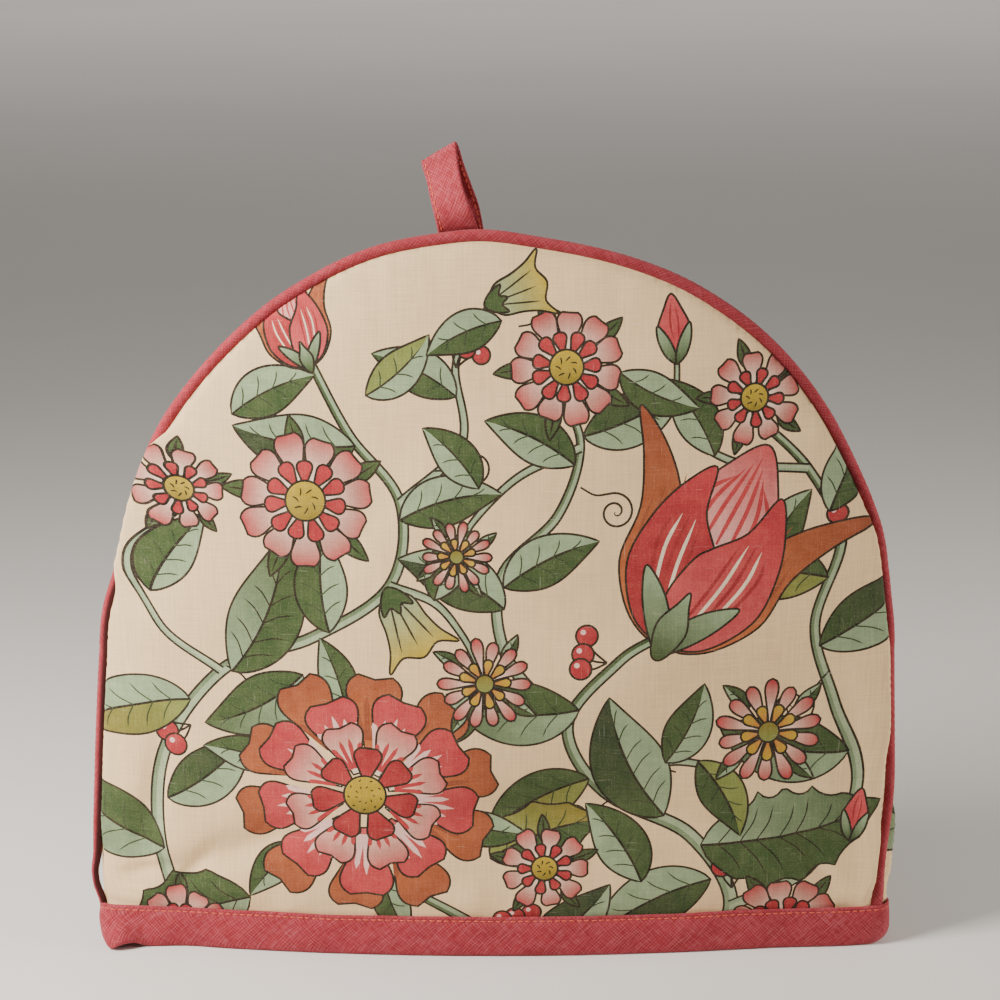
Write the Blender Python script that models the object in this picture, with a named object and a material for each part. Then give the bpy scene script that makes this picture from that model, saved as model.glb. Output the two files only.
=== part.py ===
"""Tea cosy: two padded D-shaped panels sewn together along the arch with a covered cord in the seam, a bias band
folded over the open hem, and a hanging loop sewn into the top of the seam.

The shape is worked out in millimetres and written to the meshes in metres. X runs across the cosy, the front faces
-Y, and Z is up. The origin is the middle of the box around the whole cosy, at the level of the table.
"""

import math

import bmesh
import bpy
import numpy as np

MM = 0.001

# ---- driving dimensions, in millimetres ----
TOP_Z = 269.5  # table to the top of the cord, before the loop lifts the crown
CROWN_LIFT = 1.4  # where the loop's ends are sewn in
CROWN_X = -5.0
CROWN_HALF = 15.0
SPRING_Z = 115.0  # the height where the sides turn into the arch
ARCH_HALF = 147.3  # half the width at that height, cord included
ARCH_RISE, ARCH_CLOSE = 1.88, 0.462  # the arch is fuller at the shoulders than an ellipse
FLARE = 4.2  # how much wider each side is at the bottom of the flare
FLARE_RUN = 90.0  # over this height
FLARE_END_Z = 26.0
FLARE_TUCK = 1.1  # and drawn in again by the hem band

CORD_R = 2.5  # covered cord in the seam
FIT = 0.3  # clear space between two pieces
EDGE_IN = 2 * CORD_R + FIT  # from the outline to the sewn edge of a panel

SEAM_THICK = 1.8  # panel at the stitching
PAD_THICK = 7.2  # panel where the padding is full
PAD_REACH = 7.5  # how quickly it fills out from the stitching
HOLLOW_HEM = 13.0  # half the hollow, at the middle of the hem
HOLLOW_FULL = 17.5  # half the hollow, at the widest
HOLLOW_FULL_Z = 92.0
HOLLOW_POWER = 1.1

BAND_H = 16.0  # height of the hem band
BAND_CLOTH = 1.0
BAND_SLACK = 0.5  # room between the band and the panel edge
BAND_PRESS = 5.7  # panel thickness inside the band
PANEL_FOOT_Z = 1.5  # lower edge of the panels, inside the fold of the band
BAND_INNER_H = 14.0
BAND_INNER_END_R = 2.0

LOOP_W = 15.2  # hanging loop
LOOP_CLOTH = 1.3
LOOP_X = -12.6
LOOP_Y = 4.6
LOOP_FOOT_Z = 266.4
LOOP_H = 31.2
LOOP_LEAN = -0.215  # sideways for each unit up
LOOP_SKEW = 0.125  # the fold at the top rises to the right
LOOP_TAPER = 0.07  # the legs curl a little, so that they look this much narrower at mid height
LOOP_BEND = 0.9  # the upper half leans this much further to the left

# The middle of the outline wanders from side to side, because the cosy stands a little uneven.
OUTLINE_DRIFT = (  # height, sideways
    (0.0, -0.6),
    (26.0, -1.7),
    (67.0, -0.8),
    (115.0, 0.2),
    (134.0, 0.8),
    (146.0, 2.0),
    (160.0, 2.5),
    (172.0, 1.9),
    (190.0, 1.0),
    (245.0, 0.6),
    (257.0, -0.9),
    (264.0, -4.0),
    (269.5, -8.0),
)
SIDE_TRIM = (  # height, how much less than the arch's own half width
    (118.0, 0.0),
    (128.0, 0.4),
    (138.0, 1.2),
    (146.0, 1.7),
    (154.0, 1.5),
    (165.0, 1.1),
    (183.0, 0.75),
    (203.0, 0.0),
)
# How far each leg of the strap stands from the middle of the loop.
LOOP_SHIFT = (  # height up the loop, how far the back leg stands to the side of the front one
    (0.0, 1.2),
    (3.0, 1.6),
    (10.0, 2.6),
    (16.0, 2.6),
    (22.0, 2.2),
    (27.0, 1.3),
    (31.2, 0.5),
)
LOOP_TURN = (  # height up the loop, how far it is turned about the upright, in degrees
    (0.0, 0.0),
    (4.5, 1.5),
    (8.0, 10.0),
    (12.0, 18.0),
    (20.0, 26.0),
    (26.0, 28.0),
    (31.2, 24.0),
)
LOOP_SIDE = (  # height up the loop, half gap
    (0.0, 1.0),
    (3.0, 1.3),
    (6.5, 3.6),
    (10.0, 5.9),
    (14.0, 6.4),
    (18.0, 5.6),
    (23.0, 3.5),
    (27.0, 1.9),
    (30.0, 1.2),
)
# Soft troughs (negative) and swells (positive) in the outer face of each padded panel.
FRONT_FOLDS = (  # across, height, length, width, turn in degrees, depth
    (-97.0, 40.0, 62.0, 17.0, 24.0, -1.7),
    (-128.0, 58.0, 60.0, 12.0, 78.0, -1.1),
    (12.0, 60.0, 92.0, 22.0, 6.0, -1.5),
    (84.0, 50.0, 66.0, 17.0, -22.0, -1.3),
    (-58.0, 158.0, 84.0, 24.0, 52.0, -1.0),
    (70.0, 176.0, 76.0, 22.0, -48.0, -0.9),
    (-34.0, 96.0, 96.0, 40.0, 0.0, 1.2),
)
BACK_FOLDS = (
    (60.0, 44.0, 70.0, 18.0, -16.0, -1.6),
    (-70.0, 62.0, 88.0, 20.0, 14.0, -1.4),
    (110.0, 96.0, 70.0, 18.0, 70.0, -1.0),
    (-8.0, 170.0, 90.0, 26.0, -30.0, -1.1),
    (20.0, 100.0, 90.0, 38.0, 0.0, 1.0),
)

# Where the rows and columns of a panel's faces lie.
SIDE_ROWS = (
    1.5, 8.5, 16.9, 19.2, 22.0, 26.5, 33.0, 43.0, 56.0, 71.0, 87.0, 103.0,
    119.0, 135.0, 150.0, 164.0, 177.0, 188.0, 197.0, 203.5, 207.8, 210.4, 212.0,
)
HALF_COLUMNS = (0.0, 0.11, 0.22, 0.33, 0.44, 0.545, 0.645, 0.735, 0.815, 0.88, 0.93, 0.963, 0.985, 1.0)
BEND_FROM_Z = 33.0  # below this the rows are level


def through(rows, at):
    """A smooth curve through the rows of a table, read at one or many places."""
    xs = np.array([r[0] for r in rows], float)
    ys = np.array([r[1] for r in rows], float)
    slope = np.gradient(ys, xs)
    at = np.clip(np.asarray(at, float), xs[0], xs[-1])
    i = np.clip(np.searchsorted(xs, at) - 1, 0, len(xs) - 2)
    h = xs[i + 1] - xs[i]
    t = (at - xs[i]) / h
    return (
        ys[i] * (2 * t**3 - 3 * t**2 + 1)
        + slope[i] * h * (t**3 - 2 * t**2 + t)
        + ys[i + 1] * (3 * t**2 - 2 * t**3)
        + slope[i + 1] * h * (t**3 - t**2)
    )


def ease(t):
    t = np.clip(t, 0.0, 1.0)
    return t * t * (3 - 2 * t)


def half_width(z):
    z = np.asarray(z, float)
    up = np.clip((z - SPRING_Z) / (TOP_Z - SPRING_Z), 0.0, 1.0)
    arch = ARCH_HALF * (1 - up**ARCH_RISE) ** ARCH_CLOSE - through(SIDE_TRIM, z)
    down = np.clip((SPRING_Z - z) / FLARE_RUN, 0.0, 1.0)
    flare = FLARE * np.sin(0.5 * math.pi * down)
    tuck = FLARE_TUCK * np.clip((FLARE_END_Z - z) / FLARE_END_Z, 0.0, 1.0)
    return np.where(z > SPRING_Z, arch, ARCH_HALF + flare - tuck)


def drift(z):
    return through(OUTLINE_DRIFT, z)


def outline(inset, z_foot):
    """Points (x, z) up the left side, over the arch and down the right, inside the outer edge by inset."""
    legs = np.linspace(-12.0, SPRING_Z, 120, endpoint=False)
    turn = np.linspace(math.pi, 0.0, 401)
    z = np.concatenate([legs, SPRING_Z + (TOP_Z - SPRING_Z) * np.sin(turn), legs[::-1]])
    side = np.sign(np.concatenate([-np.ones(120), np.round(np.cos(turn), 9), np.ones(120)]))
    x = drift(z) + side * half_width(z)
    step = np.gradient(np.stack([x, z], 1), axis=0)
    step /= np.linalg.norm(step, axis=1)[:, None]
    inner = np.stack([x + step[:, 1] * inset, z - step[:, 0] * inset], 1)
    return inner[inner[:, 1] >= z_foot]


def along(points, count):
    """The same line with count points at even steps."""
    run = np.concatenate([[0.0], np.cumsum(np.linalg.norm(np.diff(points, axis=0), axis=1))])
    at = np.linspace(0.0, run[-1], count)
    return np.stack([np.interp(at, run, points[:, k]) for k in range(points.shape[1])], 1)


PANEL_EDGE = outline(EDGE_IN, -10.0)


def hollow(x, z, full):
    """Half the space between the two panels."""
    z_hem = np.maximum(z, BAND_H + 0.9)
    up = np.clip((z - SPRING_Z) / (TOP_Z - SPRING_Z - EDGE_IN), 0.0, 1.2)
    half = np.where(z > SPRING_Z, ARCH_HALF, half_width(z_hem)) - EDGE_IN
    r2 = ((x - drift(z_hem)) / half) ** 2 + up**2
    rise = ease((z_hem - BAND_H - 0.9) / (HOLLOW_FULL_Z - BAND_H))
    depth = HOLLOW_HEM + (full - HOLLOW_HEM) * rise
    return depth * np.clip(1 - r2, 0.0, 1.0) ** HOLLOW_POWER


def from_edge(x, z):
    """Distance from the sewn edge of a panel."""
    gap = np.hypot(x[..., None] - PANEL_EDGE[:, 0], z[..., None] - PANEL_EDGE[:, 1])
    return gap.min(axis=-1)


def padding(x, z):
    """Thickness of a panel: thin at the stitching, pressed flat inside the hem band, full elsewhere."""
    fill = 1 - np.exp(-from_edge(x, z) / PAD_REACH)
    lift = ease((z - BAND_H - 0.9) / 16.0)
    full = BAND_PRESS + (PAD_THICK - BAND_PRESS) * lift
    return SEAM_THICK + (full - SEAM_THICK) * fill


def folds(table, x, z):
    total = np.zeros_like(x)
    for across, height, length, width, turn, depth in table:
        c, s = math.cos(math.radians(turn)), math.sin(math.radians(turn))
        a = ((x - across) * c + (z - height) * s) / (0.5 * length)
        b = (-(x - across) * s + (z - height) * c) / (0.5 * width)
        total += depth * np.exp(-(a**2) - b**2)
    return total * ease((z - BAND_H - 2.0) / 14.0) * ease(from_edge(x, z) / 16.0)


def settle(points):
    """The uneven stand of the whole cosy: the right foot of the seam comes forward, the left one goes back, its lower
    corner turns forward, the front of the hem beside that corner is just off the table, and the loop holds the crown up."""
    p = np.array(points, float)
    x, y, z = p[:, 0], p[:, 1], p[:, 2]
    right = ease((x - 96.0) / 50.0) * ease((95.0 - z) / 75.0)
    left = ease((-x - 96.0) / 50.0) * ease((150.0 - z) / 90.0)
    corner = ease((-x - 112.0) / 32.0) * ease((34.0 - z) / 34.0)
    raised = 1.6 * np.exp(-(((x + 139.0) / 9.0) ** 2))
    raised = raised * ease((3.0 - y) / 8.0) * ease((60.0 - z) / 60.0)
    crown = CROWN_LIFT * np.exp(-(((x - CROWN_X) / CROWN_HALF) ** 2)) * ease((z - 250.0) / 14.0)
    p[:, 1] = y - 3.0 * right + 1.5 * left - 5.5 * corner
    p[:, 2] = z + raised + crown
    return p


def add_mesh(name, points, faces, material):
    mesh = bpy.data.meshes.new(name)
    mesh.from_pydata([tuple(p * MM) for p in np.asarray(points, float)], [], faces)
    bm = bmesh.new()
    bm.from_mesh(mesh)
    bmesh.ops.recalc_face_normals(bm, faces=bm.faces[:])
    bmesh.ops.triangulate(bm, faces=bm.faces[:])
    bm.to_mesh(mesh)
    bm.free()
    mesh.shade_smooth()
    mesh.set_sharp_from_angle(angle=math.radians(50.0))
    mesh.materials.append(material)
    obj = bpy.data.objects.new(name, mesh)
    bpy.context.scene.collection.objects.link(obj)
    return obj


def cloth(name, colour, roughness):
    material = bpy.data.materials.new(name)
    material.use_nodes = True
    shader = material.node_tree.nodes["Principled BSDF"]
    shader.inputs["Base Color"].default_value = (*colour, 1.0)
    shader.inputs["Roughness"].default_value = roughness
    shader.inputs["Metallic"].default_value = 0.0
    material.diffuse_color = (*colour, 1.0)
    return material


def panel(name, side, full, table, material):
    """One padded panel. side is -1 for the front and 1 for the back."""
    left = PANEL_EDGE[: len(PANEL_EDGE) // 2]
    right = PANEL_EDGE[len(PANEL_EDGE) // 2 :][::-1]
    across = np.array([-c for c in HALF_COLUMNS[:0:-1]] + list(HALF_COLUMNS))
    corner_z = SIDE_ROWS[-1]
    top = PANEL_EDGE[PANEL_EDGE[:, 1] > corner_z - 4.0]
    xs, zs = [], []
    for row_z in SIDE_ROWS:
        x0 = np.interp(row_z, left[:, 1], left[:, 0])
        x1 = np.interp(row_z, right[:, 1], right[:, 0])
        x = x0 + (x1 - x0) * 0.5 * (across + 1)
        bend = np.clip((row_z - BEND_FROM_Z) / (corner_z - BEND_FROM_Z), 0.0, 1.0) ** 1.15
        crown = np.interp(x, top[:, 0], top[:, 1])
        zs.append(row_z + bend * np.maximum(crown - corner_z, 0.0))
        xs.append(x)
    x, z = np.array(xs), np.array(zs)
    inner = 0.5 * FIT + hollow(x, z, full)
    outer = inner + padding(x, z) + folds(table, x, z)
    rows, cols = x.shape
    points = np.concatenate(
        [np.stack([x, side * outer, z], -1).reshape(-1, 3), np.stack([x, side * inner, z], -1).reshape(-1, 3)]
    )
    faces = []
    for r in range(rows - 1):
        for c in range(cols - 1):
            a = r * cols + c
            quad = (a, a + 1, a + cols + 1, a + cols)
            faces.append(quad)
            faces.append(tuple(i + rows * cols for i in reversed(quad)))
    rim = (
        [c for c in range(cols)]
        + [r * cols + cols - 1 for r in range(1, rows)]
        + [(rows - 1) * cols + c for c in range(cols - 2, -1, -1)]
        + [r * cols for r in range(rows - 2, 0, -1)]
    )
    for a, b in zip(rim, rim[1:] + rim[:1]):
        faces.append((b, a, a + rows * cols, b + rows * cols))
    return add_mesh(name, settle(points), faces, material)


def ring(half_x, end_r, inset):
    """A level closed line round the hem: two long sides that follow the hollow, and a round turn at each end."""
    centre = float(drift(8.0))
    reach = half_x - end_r
    mid = reach * np.sin(np.linspace(0.5 * math.pi, -0.5 * math.pi, 31))
    turn = np.linspace(0.0, math.pi, 8)[1:-1]
    side = hollow(centre + mid, np.full_like(mid, 8.0), HOLLOW_FULL) + inset
    end = side[0]
    front = [(centre + m, -s) for m, s in zip(mid, side)]
    left = [(centre - reach - end_r * math.sin(t), -end * math.cos(t)) for t in turn]
    back = [(centre - m, s) for m, s in zip(mid, side[::-1])]
    right = [(centre + reach + end_r * math.sin(t), end * math.cos(t)) for t in turn]
    return np.array(front + left + back + right)


def hem_band(material):
    """The bias band, folded up over the lower edges of both panels, as one closed ring with a U section."""
    foot_half = float(half_width(0.0))
    outside = BAND_PRESS + 0.5 * FIT + BAND_SLACK + BAND_CLOTH
    outer = ring(foot_half, outside, outside)
    outer_slot = ring(foot_half - BAND_CLOTH, outside - BAND_CLOTH, outside - BAND_CLOTH)
    inner_half = 132.0
    inner_slot = ring(inner_half, BAND_INNER_END_R, -BAND_SLACK)
    inner = ring(inner_half - BAND_CLOTH, BAND_INNER_END_R - BAND_CLOTH, -BAND_SLACK - BAND_CLOTH)
    shoulder = ring(foot_half - 0.9, outside - 0.9, outside - 0.9)
    section = (
        (outer, BAND_H - 0.4),
        (outer, 1.0),
        (shoulder, 0.0),
        (inner, 0.0),
        (inner, BAND_INNER_H),
        (inner_slot, BAND_INNER_H),
        (inner_slot, BAND_CLOTH),
        (outer_slot, BAND_CLOTH),
        (outer_slot, BAND_H),
    )
    count = len(outer)
    points = np.concatenate([np.column_stack([line, np.full(count, z)]) for line, z in section])
    faces = []
    for k in range(len(section)):
        a, b = k * count, ((k + 1) % len(section)) * count
        for i in range(count):
            j = (i + 1) % count
            faces.append((a + i, a + j, b + j, b + i))
    return add_mesh("hem_band", settle(points), faces, material)


def piping(material):
    """The covered cord: a round tube along the seam, from one side of the hem band to the other."""
    line = along(outline(CORD_R, BAND_H + 1.3), 64)
    points = settle(np.column_stack([line[:, 0], np.zeros(len(line)), line[:, 1]]))
    curve = bpy.data.curves.new("piping", "CURVE")
    curve.dimensions = "3D"
    curve.bevel_depth = CORD_R * MM
    curve.bevel_resolution = 2
    curve.use_fill_caps = True
    spline = curve.splines.new("POLY")
    spline.points.add(len(points) - 1)
    for spot, p in zip(spline.points, points):
        spot.co = (*(p * MM), 1.0)
        spot.radius = 1.0
    curve.materials.append(material)
    obj = bpy.data.objects.new("piping", curve)
    bpy.context.scene.collection.objects.link(obj)
    return obj


def hang_loop(material):
    """The strap of the hanging loop: up the front, over the fold at the top and down the back."""
    heights = np.array([0.0, 2.0, 4.0, 6.0, 8.0, 10.5, 13.5, 17.0, 20.5, 24.0, 27.0, 29.9])
    gap = through(LOOP_SIDE, heights)
    turn = np.linspace(0.0, math.pi, 7)[1:-1]
    crown = [(-gap[-1] * math.cos(t), heights[-1] + (LOOP_H - heights[-1]) * math.sin(t)) for t in turn]
    path = [(-g, h) for g, h in zip(gap, heights)] + crown + [(g, h) for g, h in zip(gap[::-1], heights[::-1])]
    columns = np.linspace(-0.5 * LOOP_W, 0.5 * LOOP_W, 5)
    points = []
    for off, h in path:
        for w in columns:
            up = h * (1 + LOOP_SKEW * w / (0.5 * LOOP_W) * ease(h / 12.0))
            twist = math.radians(float(through(LOOP_TURN, h)))
            wide = w * (1 - LOOP_TAPER * ease(h / 8.0) * ease((29.0 - h) / 7.0))
            aside = float(through(LOOP_SHIFT, h)) * min(max(0.5 * (off + 1.0), 0.0), 1.0)
            points.append(
                (
                    LOOP_X + LOOP_LEAN * up - LOOP_BEND * ease((h - 3.0) / 18.0) + wide * math.cos(twist) + aside,
                    LOOP_Y - 0.05 * up - wide * math.sin(twist) + off,
                    LOOP_FOOT_Z + up,
                )
            )
    cols = len(columns)
    faces = []
    for r in range(len(path) - 1):
        for c in range(cols - 1):
            a = r * cols + c
            faces.append((a, a + 1, a + cols + 1, a + cols))
    mesh = bpy.data.meshes.new("hang_loop")
    mesh.from_pydata([tuple(np.array(p) * MM) for p in points], [], faces)
    mesh.shade_smooth()
    mesh.materials.append(material)
    obj = bpy.data.objects.new("hang_loop", mesh)
    bpy.context.scene.collection.objects.link(obj)
    solid = obj.modifiers.new("cloth", "SOLIDIFY")
    solid.thickness = LOOP_CLOTH * MM
    solid.offset = 0.0
    solid.use_even_offset = True
    return obj


def build():
    for obj in list(bpy.data.objects):
        bpy.data.objects.remove(obj)
    cotton = cloth("printed_cotton", (0.73, 0.64, 0.50), 0.9)
    coral = cloth("coral_linen", (0.58, 0.105, 0.115), 0.85)
    cord = cloth("coral_piping", (0.62, 0.12, 0.13), 0.85)
    made = [
        panel("front_panel", -1, HOLLOW_FULL, FRONT_FOLDS, cotton),
        panel("back_panel", 1, HOLLOW_FULL - 1.0, BACK_FOLDS, cotton),
        hem_band(coral),
        piping(cord),
        hang_loop(coral),
    ]
    # The box around the whole cosy is brought over the origin.
    bpy.context.view_layer.update()
    graph = bpy.context.evaluated_depsgraph_get()
    corners = []
    for obj in made:
        shape = obj.evaluated_get(graph)
        mesh = shape.to_mesh()
        corners += [tuple(v.co) for v in mesh.vertices]
        shape.to_mesh_clear()
    low, high = np.min(corners, axis=0), np.max(corners, axis=0)
    place = bpy.data.objects.new("tea_cosy", None)
    bpy.context.scene.collection.objects.link(place)
    place.location = (-0.5 * (low[0] + high[0]), -0.5 * (low[1] + high[1]), -low[2])
    for obj in made:
        obj.parent = place
    bpy.context.view_layer.update()


build()
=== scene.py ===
"""The looks of the tea cosy: printed and padded cotton panels, a covered cord in the seam, a bias band round the hem
and a hanging loop. Lengths are in millimetres here and are written to the meshes in metres."""

import math

import bpy
import numpy as np
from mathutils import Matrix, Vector, geometry


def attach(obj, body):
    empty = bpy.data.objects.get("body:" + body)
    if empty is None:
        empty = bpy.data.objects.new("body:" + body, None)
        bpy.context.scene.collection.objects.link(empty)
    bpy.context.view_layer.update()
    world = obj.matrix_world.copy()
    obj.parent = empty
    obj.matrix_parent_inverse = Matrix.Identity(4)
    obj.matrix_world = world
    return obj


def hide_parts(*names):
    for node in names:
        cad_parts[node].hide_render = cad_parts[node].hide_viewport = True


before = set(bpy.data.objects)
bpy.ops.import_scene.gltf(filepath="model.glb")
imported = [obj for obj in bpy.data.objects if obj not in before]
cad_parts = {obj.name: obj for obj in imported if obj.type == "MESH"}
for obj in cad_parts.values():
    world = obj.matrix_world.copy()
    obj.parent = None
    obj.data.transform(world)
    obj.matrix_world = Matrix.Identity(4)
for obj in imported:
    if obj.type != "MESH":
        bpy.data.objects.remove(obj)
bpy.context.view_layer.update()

MM = 0.001

# ---- the cosy's sizes, the same as in its construction ----
TOP_Z = 269.5
SPRING_Z = 115.0
ARCH_HALF = 147.3
ARCH_RISE, ARCH_CLOSE = 1.88, 0.462
CROWN_LIFT, CROWN_X, CROWN_HALF = 1.4, -5.0, 15.0
FLARE, FLARE_RUN, FLARE_END_Z, FLARE_TUCK = 4.2, 90.0, 26.0, 1.1
CORD_R = 2.5
FIT = 0.3
HOLLOW_HEM, HOLLOW_FULL, HOLLOW_FULL_Z, HOLLOW_POWER = 13.0, 17.5, 92.0, 1.1
BAND_H = 16.0
BAND_CLOTH = 1.0
BAND_PRESS = 5.7
BAND_OUT = BAND_PRESS + 0.5 * FIT + 0.5 + BAND_CLOTH
LOOP_W, LOOP_CLOTH = 15.2, 1.3
LOOP_X, LOOP_Y, LOOP_FOOT_Z, LOOP_H = -12.6, 4.6, 266.4, 31.2
LOOP_LEAN, LOOP_SKEW, LOOP_TAPER, LOOP_BEND = -0.215, 0.125, 0.07, 0.9
SHIFT = np.array([1.7273, 0.4737, 0.0])  # the construction's own centring

OUTLINE_DRIFT = (  # height, sideways
    (0.0, -0.6),
    (26.0, -1.7),
    (67.0, -0.8),
    (115.0, 0.2),
    (134.0, 0.8),
    (146.0, 2.0),
    (160.0, 2.5),
    (172.0, 1.9),
    (190.0, 1.0),
    (245.0, 0.6),
    (257.0, -0.9),
    (264.0, -4.0),
    (269.5, -8.0),
)
SIDE_TRIM = (  # height, how much less than the arch's own half width
    (118.0, 0.0),
    (128.0, 0.4),
    (138.0, 1.2),
    (146.0, 1.7),
    (154.0, 1.5),
    (165.0, 1.1),
    (183.0, 0.75),
    (203.0, 0.0),
)
LOOP_SHIFT = (  # height up the loop, how far the back leg stands to the side of the front one
    (0.0, 1.2),
    (3.0, 1.6),
    (10.0, 2.6),
    (16.0, 2.6),
    (22.0, 2.2),
    (27.0, 1.3),
    (31.2, 0.5),
)
LOOP_TURN = (  # height up the loop, how far it is turned about the upright, in degrees
    (0.0, 0.0),
    (4.5, 1.5),
    (8.0, 10.0),
    (12.0, 18.0),
    (20.0, 26.0),
    (26.0, 28.0),
    (31.2, 24.0),
)
LOOP_SIDE = (  # height up the loop, half gap
    (0.0, 1.0),
    (3.0, 1.3),
    (6.5, 3.6),
    (10.0, 5.9),
    (14.0, 6.4),
    (18.0, 5.6),
    (23.0, 3.5),
    (27.0, 1.9),
    (30.0, 1.2),
)

# ---- what is finer than the construction ----
EDGE_IN = 3.9  # the printed cloth runs in under the cord, this far inside the outline
PANEL_FOOT_Z = 9.0  # and down inside the hem band
FOOT_COME, FOOT_RUN = 3.4, (-20.0, 22.0, 44.0)  # the right foot of the seam has come round to the front
SIDE_SINK, SINK_RUN = 1.6, (34.0, 128.0, 22.0)  # the left side of the seam lies further back
SEAM_THICK = 1.3
ROLL_R = 3.4  # the edge of the padding rolls over with this radius
ROLL_RISE = 2.7
PAD_THICK = 7.5
PAD_REACH = 9.5
CLOTH_STEP = 1.75  # spacing of the points inside the printed cloth
# Soft troughs (negative) and swells (positive) in the padded faces.
FRONT_FOLDS = (  # across, height, length, width, turn in degrees, depth
    (-97.0, 40.0, 62.0, 15.0, 24.0, -1.8),
    (-128.0, 58.0, 60.0, 11.0, 78.0, -1.3),
    (-116.0, 28.0, 34.0, 7.0, 52.0, -0.9),
    (-131.0, 30.0, 22.0, 6.0, 18.0, -0.8),
    (12.0, 58.0, 96.0, 20.0, 6.0, -1.6),
    (-30.0, 34.0, 50.0, 12.0, -20.0, -0.8),
    (84.0, 50.0, 66.0, 15.0, -22.0, -1.4),
    (120.0, 34.0, 40.0, 8.0, -58.0, -0.9),
    (132.0, 70.0, 60.0, 9.0, 96.0, -0.8),
    (-58.0, 158.0, 84.0, 24.0, 52.0, -1.0),
    (70.0, 176.0, 76.0, 22.0, -48.0, -0.9),
    (20.0, 236.0, 70.0, 12.0, -8.0, -0.7),
    (-34.0, 96.0, 96.0, 40.0, 0.0, 1.2),
    (52.0, 118.0, 60.0, 34.0, 30.0, 0.7),
)
BACK_FOLDS = (
    (60.0, 44.0, 70.0, 16.0, -16.0, -1.7),
    (-70.0, 62.0, 88.0, 18.0, 14.0, -1.5),
    (118.0, 34.0, 40.0, 8.0, -54.0, -0.9),
    (-122.0, 34.0, 44.0, 8.0, 60.0, -1.0),
    (110.0, 96.0, 70.0, 16.0, 70.0, -1.0),
    (-8.0, 170.0, 90.0, 24.0, -30.0, -1.1),
    (-60.0, 220.0, 60.0, 14.0, 40.0, -0.7),
    (20.0, 100.0, 90.0, 38.0, 0.0, 1.0),
)


def through(rows, at):
    """A smooth curve through the rows of a table, read at one or many places."""
    xs = np.array([r[0] for r in rows], float)
    ys = np.array([r[1] for r in rows], float)
    slope = np.gradient(ys, xs)
    at = np.clip(np.asarray(at, float), xs[0], xs[-1])
    i = np.clip(np.searchsorted(xs, at) - 1, 0, len(xs) - 2)
    h = xs[i + 1] - xs[i]
    t = (at - xs[i]) / h
    return (
        ys[i] * (2 * t**3 - 3 * t**2 + 1)
        + slope[i] * h * (t**3 - 2 * t**2 + t)
        + ys[i + 1] * (3 * t**2 - 2 * t**3)
        + slope[i + 1] * h * (t**3 - t**2)
    )


def ease(t):
    t = np.clip(t, 0.0, 1.0)
    return t * t * (3 - 2 * t)


def band_pass(v, low, high, soft):
    """1 between low and high, falling smoothly to 0 over soft on each side."""
    return ease((v - low) / soft + 1) * ease((high - v) / soft + 1)


def half_width(z):
    z = np.asarray(z, float)
    up = np.clip((z - SPRING_Z) / (TOP_Z - SPRING_Z), 0.0, 1.0)
    arch = ARCH_HALF * (1 - up**ARCH_RISE) ** ARCH_CLOSE - through(SIDE_TRIM, z)
    down = np.clip((SPRING_Z - z) / FLARE_RUN, 0.0, 1.0)
    flare = FLARE * np.sin(0.5 * math.pi * down)
    tuck = FLARE_TUCK * np.clip((FLARE_END_Z - z) / FLARE_END_Z, 0.0, 1.0)
    return np.where(z > SPRING_Z, arch, ARCH_HALF + flare - tuck)


def drift(z):
    return through(OUTLINE_DRIFT, z)


def outline(inset, z_foot):
    """Points (x, z) up the left side, over the arch and down the right, inside the outer edge by inset."""
    legs = np.linspace(-12.0, SPRING_Z, 120, endpoint=False)
    turn = np.linspace(math.pi, 0.0, 401)
    z = np.concatenate([legs, SPRING_Z + (TOP_Z - SPRING_Z) * np.sin(turn), legs[::-1]])
    side = np.sign(np.concatenate([-np.ones(120), np.round(np.cos(turn), 9), np.ones(120)]))
    x = drift(z) + side * half_width(z)
    step = np.gradient(np.stack([x, z], 1), axis=0)
    step /= np.linalg.norm(step, axis=1)[:, None]
    inner = np.stack([x + step[:, 1] * inset, z - step[:, 0] * inset], 1)
    return inner[inner[:, 1] >= z_foot]


def along(points, count):
    """The same line with count points at even steps."""
    run = np.concatenate([[0.0], np.cumsum(np.linalg.norm(np.diff(points, axis=0), axis=1))])
    at = np.linspace(0.0, run[-1], count)
    return np.stack([np.interp(at, run, points[:, k]) for k in range(points.shape[1])], 1)


def hollow(x, z, full):
    """Half the space between the two panels."""
    z_hem = np.maximum(z, BAND_H + 0.9)
    up = np.clip((z - SPRING_Z) / (TOP_Z - SPRING_Z - 5.3), 0.0, 1.2)
    half = np.where(z > SPRING_Z, ARCH_HALF, half_width(z_hem)) - 5.3
    r2 = ((x - drift(z_hem)) / half) ** 2 + up**2
    rise = ease((z_hem - BAND_H - 0.9) / (HOLLOW_FULL_Z - BAND_H))
    depth = HOLLOW_HEM + (full - HOLLOW_HEM) * rise
    return depth * np.clip(1 - r2, 0.0, 1.0) ** HOLLOW_POWER


def folds(table, x, z, edge):
    total = np.zeros_like(x)
    for across, height, length, width, turn, depth in table:
        c, s = math.cos(math.radians(turn)), math.sin(math.radians(turn))
        a = ((x - across) * c + (z - height) * s) / (0.5 * length)
        b = (-(x - across) * s + (z - height) * c) / (0.5 * width)
        total += depth * np.exp(-(a**2) - b**2)
    return total * ease((z - BAND_H - 1.0) / 9.0) * ease(edge / 12.0)


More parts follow.
